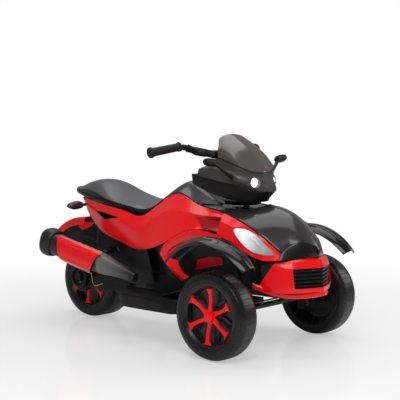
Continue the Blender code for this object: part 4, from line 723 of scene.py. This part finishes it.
# Skirt under the pod, round the column: its top and its narrower foot
skirt_rings = []
for height, inset in ((0.3605, 0.0), (0.3465, 0.006)):
    outline = [(0.0, 0.056 + inset), (0.044 - inset, 0.070), (0.058 - inset, 0.110), (0.058 - inset, 0.160),
               (0.040 - inset, 0.178 - inset)]
    skirt_rings += [at(x, y, height) for x, y in outline]
    skirt_rings += [at(-x, y, height) for x, y in reversed(outline[1:])]
faces = ring_faces(2, len(skirt_rings) // 2)
own_piece("pod_skirt", skirt_rings, faces, "black", "pod_base", flat=True)

# Black gaskets where the hood and the knee cover meet the red side panels, along the body's belt.
# Rows of the belt, as in the part's source: y, half width and height from the front axle.
BELT = [
    (-0.150, 0.108, 0.190),
    (-0.057, 0.150, 0.274),
    (0.080, 0.145, 0.326),
    (0.207, 0.132, 0.346),
    (0.332, 0.105, 0.383),
    (0.403, 0.103, 0.362),
    (0.500, 0.128, 0.285),
    (0.581, 0.130, 0.302),
    (0.731, 0.112, 0.319),
    (0.916, 0.045, 0.340),
]
GASKET_FRONT = -0.1368
HOOD_REAR = 0.205
GASKET_REAR = 0.4398
GASKET_RADIUS = 0.0026
HOOD_STEPS = 8
COVER_STEPS = 6


def smooth(stations, y):
    """Values of the smooth curve through (y, value, ...) stations, held beyond its ends."""
    if y <= stations[0][0]:
        return list(stations[0][1:])
    if y >= stations[-1][0]:
        return list(stations[-1][1:])
    index = max(i for i, row in enumerate(stations[:-1]) if row[0] <= y)
    low = stations[index]
    high = stations[index + 1]
    before = stations[max(index - 1, 0)]
    after = stations[min(index + 2, len(stations) - 1)]
    step = high[0] - low[0]
    t = (y - low[0]) / step
    values = []
    for k in range(1, len(low)):
        slope_low = (high[k] - before[k]) / (high[0] - before[0]) * step
        slope_high = (after[k] - low[k]) / (after[0] - low[0]) * step
        rise = low[k] * (2 * t**3 - 3 * t**2 + 1) + high[k] * (3 * t**2 - 2 * t**3)
        bend = slope_low * (t**3 - 2 * t**2 + t) + slope_high * (t**3 - t**2)
        values.append(rise + bend)
    return values


gasket_y = [GASKET_FRONT + (HOOD_REAR - GASKET_FRONT) * k / HOOD_STEPS for k in range(HOOD_STEPS)]
gasket_y += [HOOD_REAR + (GASKET_REAR - HOOD_REAR) * k / COVER_STEPS for k in range(COVER_STEPS + 1)]
for side, word in SIDES:
    line = []
    for y in gasket_y:
        half_width, height = smooth(BELT, y)
        line.append(at(side * half_width, y, height))
    round_bar(word + "_gasket", line, GASKET_RADIUS, "black", word + "_side_panel", 8)

# Red hubs on the front wheels, their rings of points at depths under the spokes' outer face
HUB_RADIUS = 0.0185
HUB_DEPTHS = (0.0100, 0.0010, 0.0002)
for side, word in SIDES:
    trim = f"front_{word}_spoke_trim"
    face = max(abs(vertex.co.x) for vertex in nodes[trim].data.vertices)
    hub = [at(side * (face - depth), 0.0, 0.0) for depth in HUB_DEPTHS]
    round_bar(f"front_{word}_hub", hub, HUB_RADIUS, "red_trim", trim, 36)

# Cowl between the windshield and the pod, and the windshield's gasket on its upper edge.
# Rows from the rear round to the middle of the front: x, y and z of the upper edge, and how far it drops.
COWL = [(0.100, 0.182, 0.508, 0.034), (0.108, 0.146, 0.514, 0.036), (0.106, 0.110, 0.502, 0.032),
        (0.093, 0.058, 0.482, 0.025), (0.076, 0.042, 0.472, 0.020), (0.054, 0.034, 0.465, 0.015),
        (0.026, 0.025, 0.462, 0.012), (0.0, 0.022, 0.461, 0.012)]
COWL_MIDDLE_Y = 0.110
COWL_WALL = 0.003
SEAL_LIFT = 0.001
SEAL_RADIUS = 0.0024
cowl_line = [(-x, y, z, drop) for x, y, z, drop in COWL] + list(reversed(COWL[:-1]))
verts = []
for x, y, z, drop in cowl_line:
    inward = Vector((-x, COWL_MIDDLE_Y - y, 0.0)).normalized() * COWL_WALL
    verts += [at(x, y, z), at(x, y, z - drop), at(x, y, z - drop) + inward, at(x, y, z) + inward]
own_piece("pod_cowl", verts, ring_faces(len(cowl_line), 4), "satin", "pod_shell")
seal = [at(x, y, z + SEAL_LIFT) for x, y, z, drop in cowl_line[1:-1]]
round_bar("windshield_gasket", seal, SEAL_RADIUS, "black", "windshield", 8)

# Thick sleeves on the handlebar's arms, their route given from the bar's middle
BAR_MIDDLE = at(0.0, 0.1711, 0.522)
SLEEVE_ROUTE = [(0.030, 0.009, 0.001), (0.080, 0.024, 0.003), (0.100, 0.046, 0.008), (0.120, 0.069, 0.014),
                (0.150, 0.083, 0.025)]
SLEEVE_RADIUS = 0.0150
for side, word in SIDES:
    line = [BAR_MIDDLE + Vector((side * x, y, z)) for x, y, z in SLEEVE_ROUTE]
    round_bar(word + "_bar_sleeve", line, SLEEVE_RADIUS, "black", "handlebar", 20)

# Mirror heads flattened to a leaf, as in the photo: beyond the stalk, towards a gently rising middle line
STALK_END = 0.163
LEAF_X = 0.182
LEAF_Z = ORIGIN.z + 0.501
LEAF_RISE = 0.12
LEAF_FLATNESS = 0.72
for word in WORDS:
    for vertex in fine_piece[word + "_mirror"].data.vertices:
        if abs(vertex.co.x) > STALK_END:
            middle = LEAF_Z + (abs(vertex.co.x) - LEAF_X) * LEAF_RISE
            vertex.co.z = middle + (vertex.co.z - middle) * LEAF_FLATNESS

# The pod base's chin cut back, as in the photo: the lower and the further forward, the more
CHIN_HEIGHT = ORIGIN.z + 0.400
CHIN_REAR = 0.045
CHIN_LENGTH = 0.057
CHIN_CUT = 0.9
for vertex in fine_piece["pod_base"].data.vertices:
    y = vertex.co.y - ORIGIN.y
    if y < CHIN_REAR and vertex.co.z < CHIN_HEIGHT:
        vertex.co.y += (CHIN_HEIGHT - vertex.co.z) * CHIN_CUT * (CHIN_REAR - y) / CHIN_LENGTH

# Black sheets that close the rear arch and the sills.
# Each is a bar of four corners: (x, radius round the rear axle) for the arch, (x, z) for the sill.
SKIRT_CORNERS = [(0.0765, 0.196), (0.0765, 0.142), (0.0745, 0.142), (0.0745, 0.196)]
SKIRT_TURNS = [math.radians(turn) for turn in range(-30, 31, 10)]
SILL_ENDS = (0.090, 0.500)
SILL_CORNERS = [(0.108, 0.012), (0.112, 0.012), (0.112, 0.075), (0.108, 0.075)]
for side, word in SIDES:
    skirt = [at(side * x, WHEELBASE + radius * math.sin(turn), radius * math.cos(turn))
             for turn in SKIRT_TURNS for x, radius in SKIRT_CORNERS]
    faces = ring_faces(len(SKIRT_TURNS), 4)
    own_piece(word + "_arch_skirt", skirt, faces, "black", "rear_mudguard", flat=True)
    sill = [at(side * x, y, z) for y in SILL_ENDS for x, z in SILL_CORNERS]
    own_piece(word + "_sill_sheet", sill, ring_faces(2, 4), "black", "body_tub", flat=True)

# Floor: pale, and whiter to the camera between two distances from the scene's middle
FLOOR_HALF = 30
WHITEN_FROM = 0.5
WHITEN_TO = 2.0
LEAST_WHITE = 0.45
WHITE = (1, 1, 1, 1)
floor_mesh = bpy.data.meshes.new("floor")
floor_corners = [(-FLOOR_HALF, -FLOOR_HALF, 0), (FLOOR_HALF, -FLOOR_HALF, 0), (FLOOR_HALF, FLOOR_HALF, 0),
                 (-FLOOR_HALF, FLOOR_HALF, 0)]
floor_mesh.from_pydata(floor_corners, [], [(0, 1, 2, 3)])
floor = add("floor", floor_mesh)
floor_look = Look("floor", (0.97, 0.97, 0.97), 0.10)
white = floor_look.new("ShaderNodeEmission")
white.inputs["Color"].default_value = WHITE
rays = floor_look.new("ShaderNodeLightPath")
far = floor_look.new("ShaderNodeVectorMath", operation="LENGTH")
floor_look.link(floor_look.place, far.inputs[0])
whiten = floor_look.new("ShaderNodeMapRange")
whiten.inputs["From Min"].default_value = WHITEN_FROM
whiten.inputs["From Max"].default_value = WHITEN_TO
whiten.inputs["To Min"].default_value = LEAST_WHITE
whiten.inputs["To Max"].default_value = 1.0
floor_look.link(far.outputs["Value"], whiten.inputs["Value"])
share = floor_look.maths("MULTIPLY", rays.outputs["Is Camera Ray"], whiten.outputs["Result"])
blend = floor_look.new("ShaderNodeMixShader")
floor_look.link(share, blend.inputs["Fac"])
floor_look.link(floor_look.shader.outputs["BSDF"], blend.inputs[1])
floor_look.link(white.outputs["Emission"], blend.inputs[2])
floor_look.link(blend.outputs[0], floor_look.tree.nodes["Material Output"].inputs["Surface"])
floor_mesh.materials.append(floor_look.material)

# World: a dim white light on the object, and plain white where the camera or glass looks past it
world = bpy.data.worlds.new("studio")
bpy.context.scene.world = world
world.use_nodes = True
world_nodes = world.node_tree.nodes
sky = world_nodes["Background"]
sky.inputs["Color"].default_value = WHITE
sky.inputs["Strength"].default_value = 0.30
seen = world_nodes.new("ShaderNodeBackground")
seen.inputs["Color"].default_value = WHITE
seen.inputs["Strength"].default_value = 1.0
paths = world_nodes.new("ShaderNodeLightPath")
either = world_nodes.new("ShaderNodeMath")
either.operation = "MAXIMUM"
both = world_nodes.new("ShaderNodeMixShader")
links = world.node_tree.links
links.new(paths.outputs["Is Camera Ray"], either.inputs[0])
links.new(paths.outputs["Is Transmission Ray"], either.inputs[1])
links.new(either.outputs[0], both.inputs["Fac"])
links.new(sky.outputs[0], both.inputs[1])
links.new(seen.outputs[0], both.inputs[2])
links.new(both.outputs[0], world_nodes["World Output"].inputs["Surface"])


# Lamps
def softbox(name, place, target, size, power):
    """A square studio lamp, its size in metres and its power in watts."""
    data = bpy.data.lights.new(name, "AREA")
    data.shape = "RECTANGLE"
    data.size = size
    data.size_y = size
    data.energy = power
    aim(add(name, data), place, target)


softbox("key_light", (-2.4, -2.2, 3.0), (0, 0, 0.3), 2.4, 84)
softbox("top_light", (0.6, 0.4, 3.2), (0, 0, 0.3), 3.0, 52)
softbox("side_light", (2.8, -2.2, 1.8), (0, 0, 0.4), 1.8, 28)
